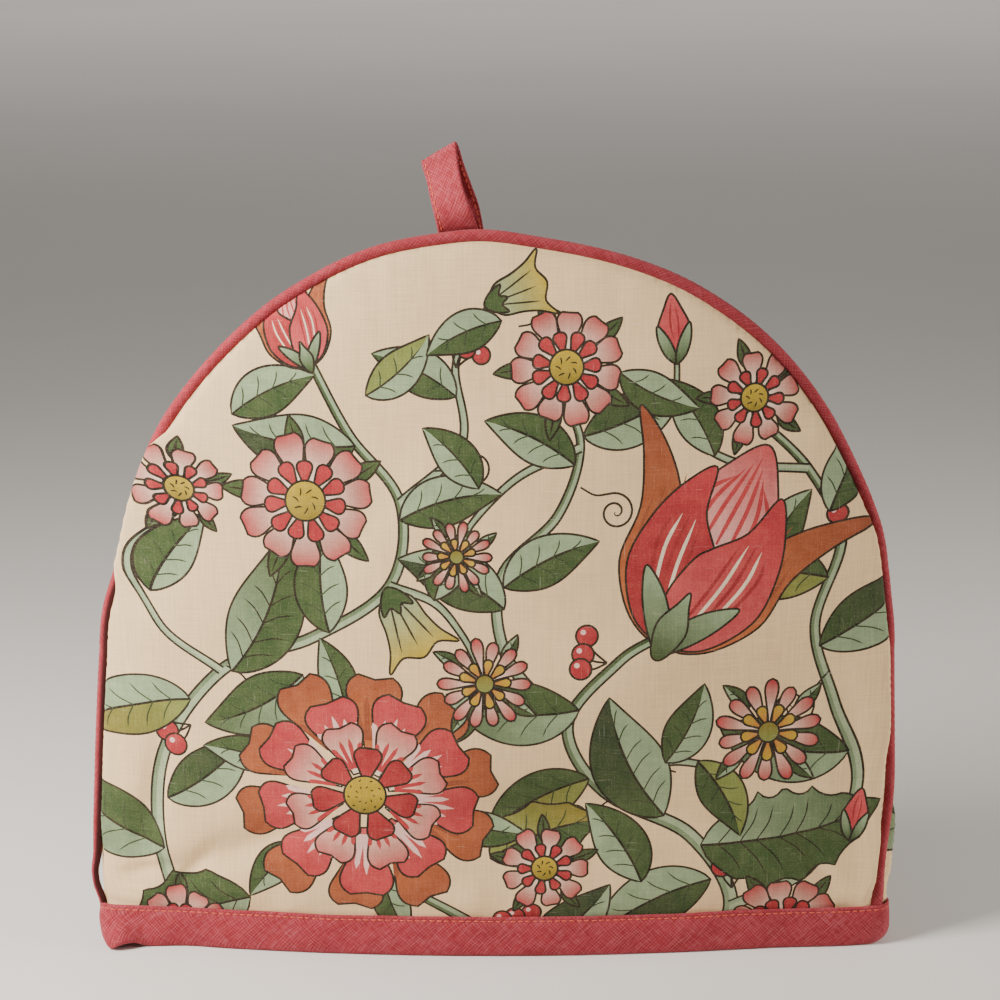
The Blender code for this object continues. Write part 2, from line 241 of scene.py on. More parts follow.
def settle(points):
    """The uneven stand of the whole cosy."""
    p = np.array(points, float)
    x, y, z = p[:, 0].copy(), p[:, 1].copy(), p[:, 2].copy()
    right = ease((x - 96.0) / 50.0) * ease((95.0 - z) / 75.0)
    left = ease((-x - 96.0) / 50.0) * ease((150.0 - z) / 90.0)
    corner = ease((-x - 112.0) / 32.0) * ease((34.0 - z) / 34.0)
    t = np.abs(x + 139.5) / np.where(x < -139.5, 4.3, 5.8)
    raised = 2.7 * np.exp(-(t**3))
    raised = raised * ease((3.0 - y) / 8.0) * ease((14.0 - z) / 14.0)
    crown = CROWN_LIFT * np.exp(-(((x - CROWN_X) / CROWN_HALF) ** 2)) * ease((z - 250.0) / 14.0)
    p[:, 1] = y - 3.0 * right + 1.5 * left - 5.5 * corner
    p[:, 2] = z + raised + crown
    return p


def waver(v, seed):
    """A smooth uneven ripple between about -1 and 1."""
    return (
        np.sin(v * 1.00 + 1.7 * seed) * 0.50
        + np.sin(v * 0.618 + 2.9 * seed + 0.7) * 0.35
        + np.sin(v * 1.732 + 0.6 * seed + 2.1) * 0.25
    )


# ---------------------------------------------------------------------------
# The print: a loose flower garden on cream, drawn as closed outlines in millimetres (x across, z up).
# Every shape is painted over the ones before it.
# ---------------------------------------------------------------------------

INK = {  # name: red, green, blue as printed on paper (sRGB)
    "ground": (0.935, 0.797, 0.607),
    "pale": (0.965, 0.880, 0.775),
    "line": (0.070, 0.034, 0.026),
    "coral": (0.745, 0.195, 0.235),
    "coral_deep": (0.630, 0.125, 0.170),
    "coral_soft": (0.825, 0.330, 0.345),
    "blush": (0.940, 0.760, 0.715),
    "rust": (0.775, 0.415, 0.215),
    "rust_deep": (0.600, 0.290, 0.170),
    "olive": (0.770, 0.650, 0.150),
    "olive_deep": (0.520, 0.450, 0.130),
    "leaf": (0.222, 0.325, 0.160),
    "leaf_deep": (0.150, 0.235, 0.135),
    "sage": (0.585, 0.670, 0.520),
    "sage_pale": (0.690, 0.740, 0.590),
    "moss": (0.500, 0.545, 0.270),
}
LINE = 0.40  # half the width of a drawn outline
shapes = []  # (outline, ink at the start, ink at the end, start point, end point)


def put(outline_, ink, ink_end=None, start=(0.0, 0.0), end=(0.0, 1.0)):
    shapes.append((np.asarray(outline_, float), ink, ink_end or ink, np.array(start, float), np.array(end, float)))


def curve(points, steps=10, closed=False):
    """A smooth line through the points."""
    p = np.asarray(points, float)
    if closed:
        p = np.concatenate([p[-1:], p, p[:2]])
    else:
        p = np.concatenate([2 * p[:1] - p[1:2], p, 2 * p[-1:] - p[-2:-1]])
    t = np.linspace(0.0, 1.0, steps, endpoint=False)[:, None]
    parts = []
    for a, b, c, d in zip(p, p[1:], p[2:], p[3:]):
        parts.append(0.5 * (2 * b + (c - a) * t + (2 * a - 5 * b + 4 * c - d) * t**2 + (3 * b - a - 3 * c + d) * t**3))
    out = np.concatenate(parts)
    return out if closed else np.concatenate([out, p[-2:-1]])


def normals(line, closed=False):
    if closed:
        step = np.roll(line, -1, axis=0) - np.roll(line, 1, axis=0)
    else:
        step = np.gradient(line, axis=0)
    step /= np.maximum(np.linalg.norm(step, axis=1), 1e-9)[:, None]
    return np.stack([step[:, 1], -step[:, 0]], 1)


def area(loop):
    x, y = loop[:, 0], loop[:, 1]
    return 0.5 * float(np.sum(x * np.roll(y, -1) - np.roll(x, -1) * y))


def grown(loop, by):
    """The closed outline moved outwards by a small distance."""
    sign = 1.0 if area(loop) > 0 else -1.0
    return loop + normals(loop, closed=True) * by * sign


def stroke(line, width, ends=(0.25, 0.25)):
    """A drawn line as a closed outline. Its width swells from the ends' share of it to the full width."""
    line = np.asarray(line, float)
    t = np.linspace(0.0, 1.0, len(line))
    w = np.ones_like(t)
    w = np.minimum(w, ends[0] + (1 - ends[0]) * np.clip(t / 0.25, 0, 1))
    w = np.minimum(w, ends[1] + (1 - ends[1]) * np.clip((1 - t) / 0.25, 0, 1))
    n = normals(line) * (0.5 * width * w)[:, None]
    return np.concatenate([line + n, (line - n)[::-1]])


def drawn(loop, ink, ink_end=None, start=(0, 0), end=(0, 1), line=LINE, ink_line="line"):
    """A filled shape with a drawn outline."""
    put(grown(loop, line), ink_line)
    put(grown(loop, -line), ink, ink_end, start, end)


def turned(points, turn, at):
    c, s = math.cos(turn), math.sin(turn)
    p = np.asarray(points, float)
    return np.stack([p[:, 0] * c - p[:, 1] * s + at[0], p[:, 0] * s + p[:, 1] * c + at[1]], 1)


def bow(length, bend, steps):
    """A line from the origin along +X that turns by bend radians over its length."""
    t = np.linspace(0.0, 1.0, steps)
    heading = bend * (t - 0.35)
    step = np.stack([np.cos(heading), np.sin(heading)], 1) * (length / (steps - 1))
    return np.concatenate([[[0.0, 0.0]], np.cumsum(step[:-1], axis=0)])


def leaf(at, turn, length, width, bend=0.4, tones=("leaf", "sage"), veins=5, lobes=0, shift=0.0):
    """A leaf from its stalk along turn (degrees). Two tones, one each side of the rib."""
    turn = math.radians(turn)
    steps = 22 if length < 34 else 34
    rib = bow(length, bend, steps)
    t = np.linspace(0.0, 1.0, steps)
    half = 0.5 * width * np.sin(math.pi * t**0.82) ** 0.9
    if lobes:
        half = half * (1 - 0.20 * np.abs(np.sin(math.pi * lobes * t)) ** 0.7 * np.clip(t * 4, 0, 1))
        half = half * (1.16)
    n = normals(rib)
    near, far = rib + n * half[:, None], rib - n * half[:, None]
    whole = np.concatenate([near, far[::-1][1:-1]])
    place = lambda p: turned(p, turn, at)
    put(place(grown(whole, LINE)), "line")
    inner = grown(whole, -LINE)
    if shift:
        put(place(inner), "pale")
    k = len(near)
    a = np.concatenate([inner[:k], rib[::-1][1:-1]])
    b = np.concatenate([rib, inner[k:]])
    if shift:
        off = np.array([-0.02 * length, shift])
        a = np.concatenate([(inner[:k] * [0.97, 0.93] + off * [1, 0.2]), rib[::-1][1:-1]])
        b = np.concatenate([rib, (inner[k:] * [0.97, 0.9] + off * [1, 0.2])])
    root, tip = place(rib[:1])[0], place(rib[-1:])[0]
    put(place(a), tones[0], None, root, tip)
    deep = {"leaf": "leaf_deep", "sage": "leaf", "sage_pale": "sage", "moss": "olive_deep"}.get(tones[1])
    put(place(b), tones[1], deep if length > 40 else None, root, tip)
    put(place(stroke(rib[: int(steps * 0.9)], 0.9 if length > 34 else 0.7, (1.0, 0.15))), "line")
    for i in range(veins):
        u = (i + 1.0) / (veins + 1.6)
        j = int(u * steps)
        for side, edge in ((1, near), (-1, far)):
            m = min(steps - 2, j + int(0.13 * steps) + 1)
            goal = rib[j] + (edge[m] - rib[j]) * 0.78
            mid = 0.5 * (rib[j] + goal) + (rib[m] - rib[j]) * 0.12
            put(place(stroke(curve([rib[j], mid, goal], 4), 0.5, (1.0, 0.1))), "line" if length > 55 else "leaf_deep")
    return tip


def spray(at, turn, length, leaflets, size, bend=0.3, tones=("leaf", "leaf")):
    """A stalk with pairs of small leaves."""
    rad = math.radians(turn)
    rib = bow(length, bend, 26)
    world = turned(rib, rad, at)
    put(stroke(world, 1.5, (1.0, 0.3)), "line")
    for i in range(leaflets):
        u = 0.16 + 0.80 * i / max(1, leaflets - 1)
        j = min(24, int(u * 25))
        head = math.degrees(math.atan2(*(world[j + 1] - world[j])[::-1]))
        scale = size * (0.72 + 0.5 * math.sin(math.pi * (0.15 + 0.75 * u)))
        if i == leaflets - 1:
            leaf(world[j], head, scale * 1.1, scale * 0.42, 0.1, tones, 0)
        else:
            for side in (-1, 1):
                leaf(world[j], head + side * (50 - 10 * u), scale, scale * 0.40, -0.35 * side, tones, 0)
    return world[-1]


def petal_loop(length, width, notch=0.0, steps=20, root=0.14):
    """A petal from the origin along +X, round at the end, with a notch if wanted."""
    t = np.linspace(0.0, 1.0, steps)
    half = 0.5 * width * (root + (1 - root) * np.sin(math.pi * np.clip(t, 0, 1) ** 1.25 * 0.5) ** 1.1)
    half = half * np.sqrt(np.clip(1 - (np.clip(t - 0.62, 0, 1) / 0.38) ** 2.2, 0, 1))
    x = t * length
    side_a = np.stack([x, half], 1)
    side_b = np.stack([x, -half], 1)[::-1]
    loop = np.concatenate([side_a[:-1], [[length * (1 - notch), 0.0]], side_b[1:]])
    return loop[::-1]


def ring_of(at, count, length, width, first, ink, ink_end, streak=None, notch=0.0, hub=0.0, streaks=3):
    """Petals all round a centre."""
    at = np.asarray(at, float)
    for i in range(count):
        wob = 1 + 0.06 * math.sin(2.4 * i + first)
        rad = first + 2 * math.pi * i / count + 0.05 * math.sin(3.1 * i + first)
        base = at + hub * np.array([math.cos(rad), math.sin(rad)])
        loop = turned(petal_loop(length * wob, width, notch), rad, base)
        tip = base + length * np.array([math.cos(rad), math.sin(rad)])
        drawn(loop, ink, ink_end, base, tip)
        if streak:
            for k in range(streaks):
                off = (k - 0.5 * (streaks - 1)) / max(1, streaks)
                reach = 0.70 - 0.22 * abs(off) * 2
                line = curve(
                    [
                        (0.10 * length, off * width * 0.22),
                        (0.42 * length, off * width * 0.62),
                        (reach * length, off * width * 0.82),
                    ],
                    4,
                )
                put(turned(stroke(line, width * 0.085, (1.0, 0.05)), rad, base), streak)


def disc(at, radius, count=28, squash=1.0, turn=0.0):
    a = np.linspace(0, 2 * math.pi, count, endpoint=False)
    return turned(np.stack([radius * np.cos(a), radius * squash * np.sin(a)], 1), turn, at)


def daisy(at, radius, petals=11, turn=0.0, tones=("pale", "coral"), eye="olive"):
    at = np.asarray(at, float)
    first = math.radians(turn)
    for k in range(5):
        rad = first + 0.35 + 2 * math.pi * k / 5
        leaf(at + 0.62 * radius * np.array([math.cos(rad), math.sin(rad)]), math.degrees(rad), 0.62 * radius, 0.26 * radius, 0.2, ("leaf", "leaf"), 0)
    ring_of(at, petals, radius * 0.74, radius * 0.50, first, tones[0], tones[1], None, 0.06, 0.24 * radius)
    ring_of(at, petals, radius * 0.40, radius * 0.27, first + math.pi / petals, "coral_deep", "coral", None, 0.0, 0.20 * radius)
    drawn(disc(at, 0.29 * radius), eye, "olive_deep", at + [0, 0.25 * radius], at - [0, 0.35 * radius])
    for k in range(7):
        rad = first + 2 * math.pi * k / 7
        p = at + 0.19 * radius * np.array([math.cos(rad), math.sin(rad)])
        q = at + 0.10 * radius * np.array([math.cos(rad + 0.5), math.sin(rad + 0.5)])
        put(stroke(curve([p, 0.5 * (p + q) + 0.01 * radius, q], 3), 0.55, (0.6, 0.3)), "line")


def aster(at, radius, turn=0.0):
    """A small pale flower with many narrow petals tipped in coral."""
    at = np.asarray(at, float)
    first = math.radians(turn)
    for k in range(4):
        rad = first + 0.5 + 2 * math.pi * k / 4
        leaf(at + 0.60 * radius * np.array([math.cos(rad), math.sin(rad)]), math.degrees(rad) + 5, 0.70 * radius, 0.28 * radius, 0.3, ("leaf", "sage"), 2)
    ring_of(at, 14, radius * 0.78, radius * 0.30, first, "pale", "coral", None, 0.0, 0.20 * radius)
    ring_of(at, 9, radius * 0.42, radius * 0.24, first + 0.3, "rust", "olive", None, 0.0, 0.12 * radius)
    drawn(disc(at, 0.20 * radius, 18), "olive_deep", "moss", at + [0, 0.2 * radius], at - [0, 0.2 * radius])


def peony(at, radius, turn=0.0):
    """A large open flower in four rings of petals."""
    at = np.asarray(at, float)
    first = math.radians(turn)
    for k in range(6):
        rad = first + 0.5 + 2 * math.pi * k / 6
        leaf(at + 0.66 * radius * np.array([math.cos(rad), math.sin(rad)]), math.degrees(rad) + 6, 0.58 * radius, 0.27 * radius, 0.35, ("leaf", "sage"), 3)
    ring_of(at, 10, radius * 0.62, radius * 0.48, first, "rust", "rust_deep", "rust_deep", 0.10, 0.38 * radius, 4)
    ring_of(at, 9, radius * 0.56, radius * 0.47, first + 0.3, "coral_soft", "coral", "blush", 0.08, 0.27 * radius, 5)
    ring_of(at, 8, radius * 0.44, radius * 0.36, first + 0.1, "pale", "coral_soft", "coral", 0.10, 0.18 * radius, 4)
    ring_of(at, 7, radius * 0.30, radius * 0.24, first + 0.4, "coral", "coral_deep", None, 0.05, 0.09 * radius)
    drawn(disc(at, 0.155 * radius), "olive", "olive_deep", at, at - [0, 0.16 * radius])
    for k in range(9):
        rad = first + 2 * math.pi * k / 9
        for r, w in ((0.115, 0.7), (0.055, 0.6)):
            p = at + r * radius * np.array([math.cos(rad + r * 9), math.sin(rad + r * 9)])
            put(stroke([p, p + 0.022 * radius * np.array([math.cos(rad), math.sin(rad)])], w, (0.7, 0.7)), "line")


def tulip(at, turn, size, tones=("coral", "rust")):
    """A tall cup of pointed petals on its stalk, seen from the side."""
    at = np.asarray(at, float)
    rad = math.radians(turn)
    place = lambda p: turned(np.asarray(p, float) * size, rad, at)
    tip = lambda u, v: place([(u, v)])[0]
    side = curve([(0.02, 0.02), (0.05, 0.20), (0.26, 0.37), (0.52, 0.40), (0.74, 0.50), (0.93, 0.62), (0.84, 0.44), (0.66, 0.26), (0.36, 0.10)], 6, True)
    for s in (1, -1):
        loop = place(side * [1, s])
        drawn(loop, tones[1], "rust_deep" if tones[1] == "rust" else None, tip(0.1, 0), tip(0.9, 0.5 * s))
        for k in range(4):
            line = curve([(0.14 + 0.05 * k, s * (0.17 + 0.035 * k)), (0.38 + 0.04 * k, s * (0.335 - 0.035 * k)), (0.60 + 0.05 * k, s * (0.37 - 0.03 * k))], 5)
            put(place(stroke(line, 0.016, (0.3, 0.1))), "rust_deep")
    back = curve([(0.05, 0.0), (0.30, 0.20), (0.62, 0.24), (0.88, 0.13), (1.03, 0.0), (0.88, -0.13), (0.62, -0.24), (0.30, -0.20)], 7, True)
    drawn(place(back), "blush", "coral_soft", tip(0.3, 0), tip(1, 0))
    for k in range(7):
        off = (k - 3) / 3.0
        line = curve([(0.52, off * 0.19), (0.72, off * 0.16), (0.97 - 0.13 * abs(off), off * 0.075)], 5)
        put(place(stroke(line, 0.020, (0.5, 0.1))), "coral")
    cup = curve([(0.0, 0.0), (0.06, 0.19), (0.27, 0.335), (0.50, 0.335), (0.70, 0.27), (0.84, 0.17), (0.63, 0.11), (0.50, 0.0), (0.42, -0.06), (0.24, -0.10), (0.08, -0.07)], 6, True)
    for s in (1, -1):
        loop = place(cup * [1, s])
        drawn(loop, tones[0], "coral_deep" if s > 0 else "coral_soft", tip(0.75, 0.2 * s), tip(0.0, 0.1 * s))
        for k in range(5):
            line = curve([(0.10 + 0.01 * k, s * (0.03 + 0.035 * k)), (0.34 + 0.02 * k, s * (0.075 + 0.045 * k)), (0.60 - 0.02 * abs(k - 2), s * (0.105 + 0.035 * k))], 5)
            put(place(stroke(line, 0.017, (0.4, 0.1))), "pale" if k % 2 else "coral_deep")
    for s in (1, -1):
        sep = curve([(-0.05, 0.0), (0.03, 0.10), (0.17, 0.20), (0.30, 0.245), (0.21, 0.10), (0.07, 0.0)], 6, True)
        drawn(place(sep * [1, s]), "leaf", "sage", tip(-0.05, 0), tip(0.3, 0.2 * s))
    sep = curve([(-0.06, 0.03), (0.08, 0.075), (0.20, 0.03), (0.27, 0.0), (0.20, -0.03), (0.08, -0.075), (-0.06, -0.03)], 5, True)
    drawn(place(sep), "sage", "leaf", tip(0.27, 0), tip(-0.05, 0))


def bell(at, turn, size, tones=("sage", "olive")):
    """A small nodding bell."""
    rad = math.radians(turn)
    place = lambda p: turned(np.asarray(p, float) * size, rad, at)
    inside = curve([(0.76, 0.40), (0.90, 0.0), (0.76, -0.40), (0.70, 0.0)], 8, True)
    drawn(place(inside), "olive_deep")
    body = curve([(0.0, 0.07), (0.16, 0.25), (0.46, 0.30), (0.72, 0.38), (0.98, 0.52), (0.86, 0.26), (0.97, 0.0), (0.86, -0.26), (0.98, -0.52), (0.72, -0.38), (0.46, -0.30), (0.16, -0.25), (0.0, -0.07)], 5, True)
    drawn(place(body), tones[0], tones[1], place([(0.1, 0)])[0], place([(1.0, 0)])[0])
    for k in (-1, 0, 1):
        line = curve([(0.12, 0.06 * k), (0.45, 0.15 * k), (0.78, 0.24 * k)], 4)
        put(place(stroke(line, 0.028, (0.6, 0.2))), "line")
    cap = curve([(-0.08, 0.05), (0.06, 0.17), (0.25, 0.22), (0.18, 0.08), (0.30, 0.0), (0.18, -0.08), (0.25, -0.22), (0.06, -0.17), (-0.08, -0.05)], 4, True)
    drawn(place(cap), "leaf")


def bud(at, turn, size, ink="coral"):
    rad = math.radians(turn)
    place = lambda p: turned(np.asarray(p, float) * size, rad, at)
    drawn(place(curve([(0.1, 0.16), (0.45, 0.27), (0.78, 0.15), (1.02, 0.0), (0.78, -0.15), (0.45, -0.27), (0.1, -0.16)], 5, True)), "coral_soft", ink, place([(1, 0)])[0], place([(0.1, 0)])[0])
    put(place(stroke(curve([(0.35, 0.02), (0.6, 0.05), (0.88, 0.02)], 4), 0.035, (0.4, 0.1))), "coral_deep")
    put(place(stroke(curve([(0.35, -0.07), (0.6, -0.08), (0.80, -0.05)], 4), 0.030, (0.4, 0.1))), "coral_deep")
    for s in (1, -1):
        drawn(place(curve([(-0.06, 0.0), (0.08, 0.17 * s), (0.34, 0.27 * s), (0.56, 0.26 * s), (0.36, 0.10 * s), (0.1, 0.0)], 5, True)), "leaf", "sage", place([(0, 0)])[0], place([(0.5, 0.2 * s)])[0])


def berries(at, turn, count, size):
    """Round berries on short stalks."""
    at = np.asarray(at, float)
    for k in range(count):
        rad = math.radians(turn + (k - 0.5 * (count - 1)) * 34)
        reach = size * (2.6 + 0.5 * math.cos(2.2 * k))
        p = at + reach * np.array([math.cos(rad), math.sin(rad)])
        mid = at + 0.55 * reach * np.array([math.cos(rad + 0.2), math.sin(rad + 0.2)])
        put(stroke(curve([at, mid, p], 5), 0.85, (0.9, 0.7)), "line")
        drawn(disc(p, size, 18), "coral", "coral_deep", p + [-size, size], p + [size, -size])
        put(disc(p + [-0.34 * size, 0.34 * size], 0.26 * size, 9), "blush")


def tendril(at, turn, size, hand=1):
    """A thin spiral on a short lead."""
    a = np.linspace(0.0, 1.0, 44)
    angle = hand * a * 3.5 * math.pi
    radius = size * (1 - a) ** 0.85 * 0.5
    core = np.stack([0.5 * size + radius * np.cos(angle + math.pi), radius * np.sin(angle + math.pi)], 1)
    lead = curve([(-0.42 * size, 0.62 * size * hand), (-0.10 * size, 0.34 * size * hand), (0.0, 0.0)], 6)
    line = np.concatenate([lead[:-1], core]) - lead[0]
    put(turned(stroke(line, 0.85, (0.8, 0.35)), math.radians(turn), at), "line")


def stem(points, width=4.6, ink="sage_pale", ink_end="sage", taper=0.55):
    line = curve(points, 12)
    t = np.linspace(0, 1, len(line))
    n = normals(line)
    w = 0.5 * width * (1 - (1 - taper) * t)[:, None]
    outer = np.concatenate([line + n * (w + LINE), (line - n * (w + LINE))[::-1]])
    inner = np.concatenate([line + n * (w - LINE), (line - n * (w - LINE))[::-1]])
    put(outer, "line")
    put(inner, ink, ink_end, line[0], line[-1])
    shade = np.concatenate([line - n * (w * 0.15), (line - n * (w - LINE))[::-1]])
    put(shade, "moss" if ink_end == "olive" else "sage", "leaf" if width > 4 else None, line[0], line[-1])
    return line
# ---- the layout: short tables, one row for each stem, flower, leaf or small piece ----
STEMS = (  # width, points across and up
    (5.4, ((18, -12), (-8, 12), (-30, 26))),
    (5.0, ((-96, -12), (-122, 26), (-124, 74), (-100, 112), (-66, 126), (-38, 146), (-34, 176), (-52, 200), (-66, 226))),
    (5.6, ((70, -12), (88, 18), (72, 48), (40, 66), (26, 94), (44, 118), (60, 128))),
    (4.2, ((26, 94), (4, 120), (2, 150), (22, 172), (30, 196), (24, 214))),
    (4.6, ((88, 18), (118, 34), (134, 64), (124, 98), (116, 128), (124, 160), (112, 186), (92, 206))),
    (3.2, ((-34, 176), (-12, 198), (-14, 226), (-2, 246))),
    (3.0, ((-100, 112), (-122, 128), (-128, 152), (-112, 172))),
    (3.0, ((112, 186), (84, 190), (66, 204), (64, 226))),
    (3.4, ((40, 66), (62, 78), (84, 76), (98, 84))),
    (3.2, ((-38, 146), (-22, 140), (-12, 128), (-6, 116))),
    (3.0, ((30, 196), (8, 186), (-8, 170), (-12, 160))),
)
LEAVES = (  # across, up, turn, length, width, bend, near tone, far tone, veins, lobes
    (-124, 40, 150, 44, 22, -0.6, "leaf", "sage", 5, 0),
    (-122, 60, 38, 38, 17, 0.5, "sage", "leaf", 4, 0),
    (-96, 112, 64, 50, 22, 0.7, "leaf", "sage", 6, 0),
    (-112, 100, 196, 42, 19, 0.5, "sage", "moss", 5, 0),
    (-60, 128, 96, 34, 16, -0.5, "sage", "leaf", 4, 0),
    (-34, 170, 20, 34, 15, -0.6, "leaf", "sage", 4, 0),
    (-50, 196, 176, 40, 18, -0.5, "sage", "leaf", 5, 0),
    (76, 44, 8, 62, 30, 0.5, "leaf", "sage", 8, 6),
    (62, 56, 118, 48, 23, -0.6, "sage", "leaf", 6, 0),
    (34, 72, -152, 40, 18, 0.6, "leaf", "moss", 5, 0),
    (30, 100, 178, 44, 20, -0.7, "leaf", "sage", 5, 0),
    (80, 30, 205, 46, 20, 0.6, "sage", "leaf", 5, 0),
    (3, 138, 150, 38, 17, 0.6, "sage", "leaf", 4, 0),
    (3, 146, 30, 34, 15, -0.5, "leaf", "sage", 4, 0),
    (28, 190, 150, 32, 14, 0.5, "leaf", "sage", 4, 0),
    (31, 200, 22, 36, 16, 0.5, "sage", "leaf", 4, 0),
    (130, 78, 168, 46, 21, -0.6, "leaf", "sage", 5, 0),
    (118, 120, 36, 40, 18, 0.6, "sage", "leaf", 5, 0),
    (120, 146, 176, 38, 17, 0.6, "leaf", "moss", 5, 0),
    (120, 170, 62, 32, 14, -0.4, "leaf", "sage", 4, 0),
    (-124, 140, 60, 32, 14, -0.5, "sage", "leaf", 4, 0),
    (-14, 214, 150, 30, 13, 0.5, "sage", "leaf", 3, 0),
    (78, 192, 120, 30, 13, 0.5, "leaf", "sage", 3, 0),
    (6, 6, 200, 40, 17, -0.5, "leaf", "sage", 4, 0),
    (12, 0, 40, 38, 17, 0.5, "sage", "leaf", 4, 0),
    (-92, 22, 205, 52, 27, 0.5, "leaf", "sage", 7, 5),
    (-2, 40, 24, 40, 20, -0.5, "leaf", "moss", 5, 4),
    (-70, 112, 214, 38, 18, -0.6, "leaf", "sage", 5, 0),
    (62, 78, 62, 30, 14, 0.5, "sage", "leaf", 4, 0),
    (74, 78, -58, 32, 14, -0.5, "leaf", "moss", 4, 0),
    (-22, 141, 66, 26, 12, -0.5, "sage", "leaf", 3, 0),
    (-46, 214, 40, 28, 12, 0.5, "sage", "moss", 3, 0),
    (-94, 206, 30, 30, 14, -0.5, "leaf", "sage", 4, 0),
    (44, 222, -28, 28, 12, 0.5, "leaf", "sage", 3, 0),
    (96, 150, 62, 30, 13, -0.5, "leaf", "sage", 4, 0),
    (-6, 182, 130, 26, 12, 0.5, "leaf", "sage", 3, 0),
    (2, 240, -160, 26, 12, 0.5, "sage", "leaf", 3, 0),
    (54, 30, 120, 34, 16, 0.5, "leaf", "sage", 4, 0),
)
FLOWERS = (  # kind, across, up, turn, size
    ("peony", -48, 66, 12, 50),
    ("tulip", 60, 124, 62, 78),
    ("daisy", -68, 176, 8, 25),
    ("daisy", 25, 224, 20, 21),
    ("tulip", -66, 224, 112, 32),
    ("daisy", 108, 8, 30, 22),
    ("daisy", -112, 178, 0, 15),
    ("daisy", 92, 212, 14, 17),
    ("bell", -2, 246, 20, 22),
    ("bud", 64, 226, 96, 22),
    ("daisy", -118, 6, 0, 19),
    ("daisy", 18, 36, 0, 17),
    ("bell", -38, 143, -62, 27),
    ("aster", 100, 88, 10, 20),
    ("aster", -4, 110, 25, 17),
    ("aster", -14, 157, 0, 13),
    ("bud", 132, 44, 78, 19),
)
SMALL = (  # kind, across, up, turn, size
    ("tendril", -98, 114, 10, 17),
    ("tendril", 44, 64, 175, 15),
    ("tendril", 122, 110, 190, 17),
    ("tendril", -22, 188, 40, 13),
    ("tendril", 30, 182, -70, 14),
    ("berries", -112, 90, 200, 4.2),
    ("berries", 40, 118, 160, 4.0),
    ("berries", 88, 26, 80, 4.0),
    ("berries", 116, 178, -20, 3.6),
    ("berries", -14, 224, 60, 3.2),
    ("berries", 14, 62, 60, 3.4),
    ("berries", 8, 8, 96, 3.6),
    ("tendril", 66, 74, 120, 12),
    ("tendril", -122, 62, 60, 13),
    ("tendril", 8, 238, -30, 11),
)


def draw_print():
    for width, points in STEMS:
        stem(points, width)
    for kind, x, z, turn, size in SMALL:
        if kind == "tendril":
            tendril((x, z), turn, size, 1 if x < 0 else -1)
        else:
            berries((x, z), turn, 3, size)
    for x, z, turn, length, width, bend, near, far, veins, lobes in LEAVES:
        leaf((x, z), turn, length * 1.12, width * 1.20, bend, (near, far), veins, lobes)
    for kind, x, z, turn, size in FLOWERS:
        if kind == "peony":
            peony((x, z), size, turn)
        elif kind == "tulip":
            tulip((x, z), turn, size)
        elif kind == "daisy":
            daisy((x, z), size, 11 if size > 18 else 9, turn)
        elif kind == "aster":
            aster((x, z), size, turn)
        elif kind == "bell":
            bell((x, z), turn, size)
        else:
            bud((x, z), turn, size)


# ---------------------------------------------------------------------------
# Mesh helpers
# ---------------------------------------------------------------------------


def linear(colour):
    c = np.asarray(colour, float)
    return np.where(c <= 0.04045, c / 12.92, ((c + 0.055) / 1.055) ** 2.4)


def make(name, points, faces, materials, normals_=None, attributes=None, uv=None, colour=None, slots=None):
    """A mesh object from points in millimetres before centring."""
    points = (np.asarray(points, float) + SHIFT) * MM
    mesh = bpy.data.meshes.new(name)
    mesh.from_pydata(points.tolist(), [], [tuple(map(int, f)) for f in faces])
    mesh.update()
    for material in materials:
        mesh.materials.append(material)
    if slots is not None:
        mesh.polygons.foreach_set("material_index", np.asarray(slots, np.int32))
    mesh.polygons.foreach_set("use_smooth", np.ones(len(mesh.polygons), bool))
    for key, values in (attributes or {}).items():
        layer = mesh.attributes.new(key, "FLOAT_VECTOR", "POINT")
        layer.data.foreach_set("vector", np.asarray(values, np.float32).ravel())
    if uv is not None:
        layer = mesh.uv_layers.new(name="OFBake")
        index = np.empty(len(mesh.loops), np.int32)
        mesh.loops.foreach_get("vertex_index", index)
        layer.data.foreach_set("uv", np.asarray(uv, np.float32)[index].ravel())
    if colour is not None:
        layer = mesh.color_attributes.new(name="ink", type="FLOAT_COLOR", domain="CORNER")
        layer.data.foreach_set("color", np.asarray(colour, np.float32).ravel())
    if normals_ is not None:
        mesh.normals_split_custom_set_from_vertices(np.asarray(normals_, float).tolist())
    obj = bpy.data.objects.new(name, mesh)
    bpy.context.scene.collection.objects.link(obj)
    return obj


def lathe_faces(rows, cols, closed_rows, closed_cols):
    """Quads of a grid of rows x cols points, row by row."""
    faces = []
    for r in range(rows if closed_rows else rows - 1):
        for c in range(cols if closed_cols else cols - 1):
            a, b = r * cols + c, r * cols + (c + 1) % cols
            d, e = ((r + 1) % rows) * cols + c, ((r + 1) % rows) * cols + (c + 1) % cols
            faces.append((a, b, e, d))
    return faces


def unit(v):
    return v / np.maximum(np.linalg.norm(v, axis=-1, keepdims=True), 1e-12)


# ---------------------------------------------------------------------------
# The padded panels
# ---------------------------------------------------------------------------

EDGE = outline(EDGE_IN, -6.0)
EDGE_RUN = np.concatenate([[0.0], np.cumsum(np.linalg.norm(np.diff(EDGE, axis=0), axis=1))])
_step = unit(np.gradient(EDGE, axis=0))
EDGE_OUT = np.stack([-_step[:, 1], _step[:, 0]], 1)


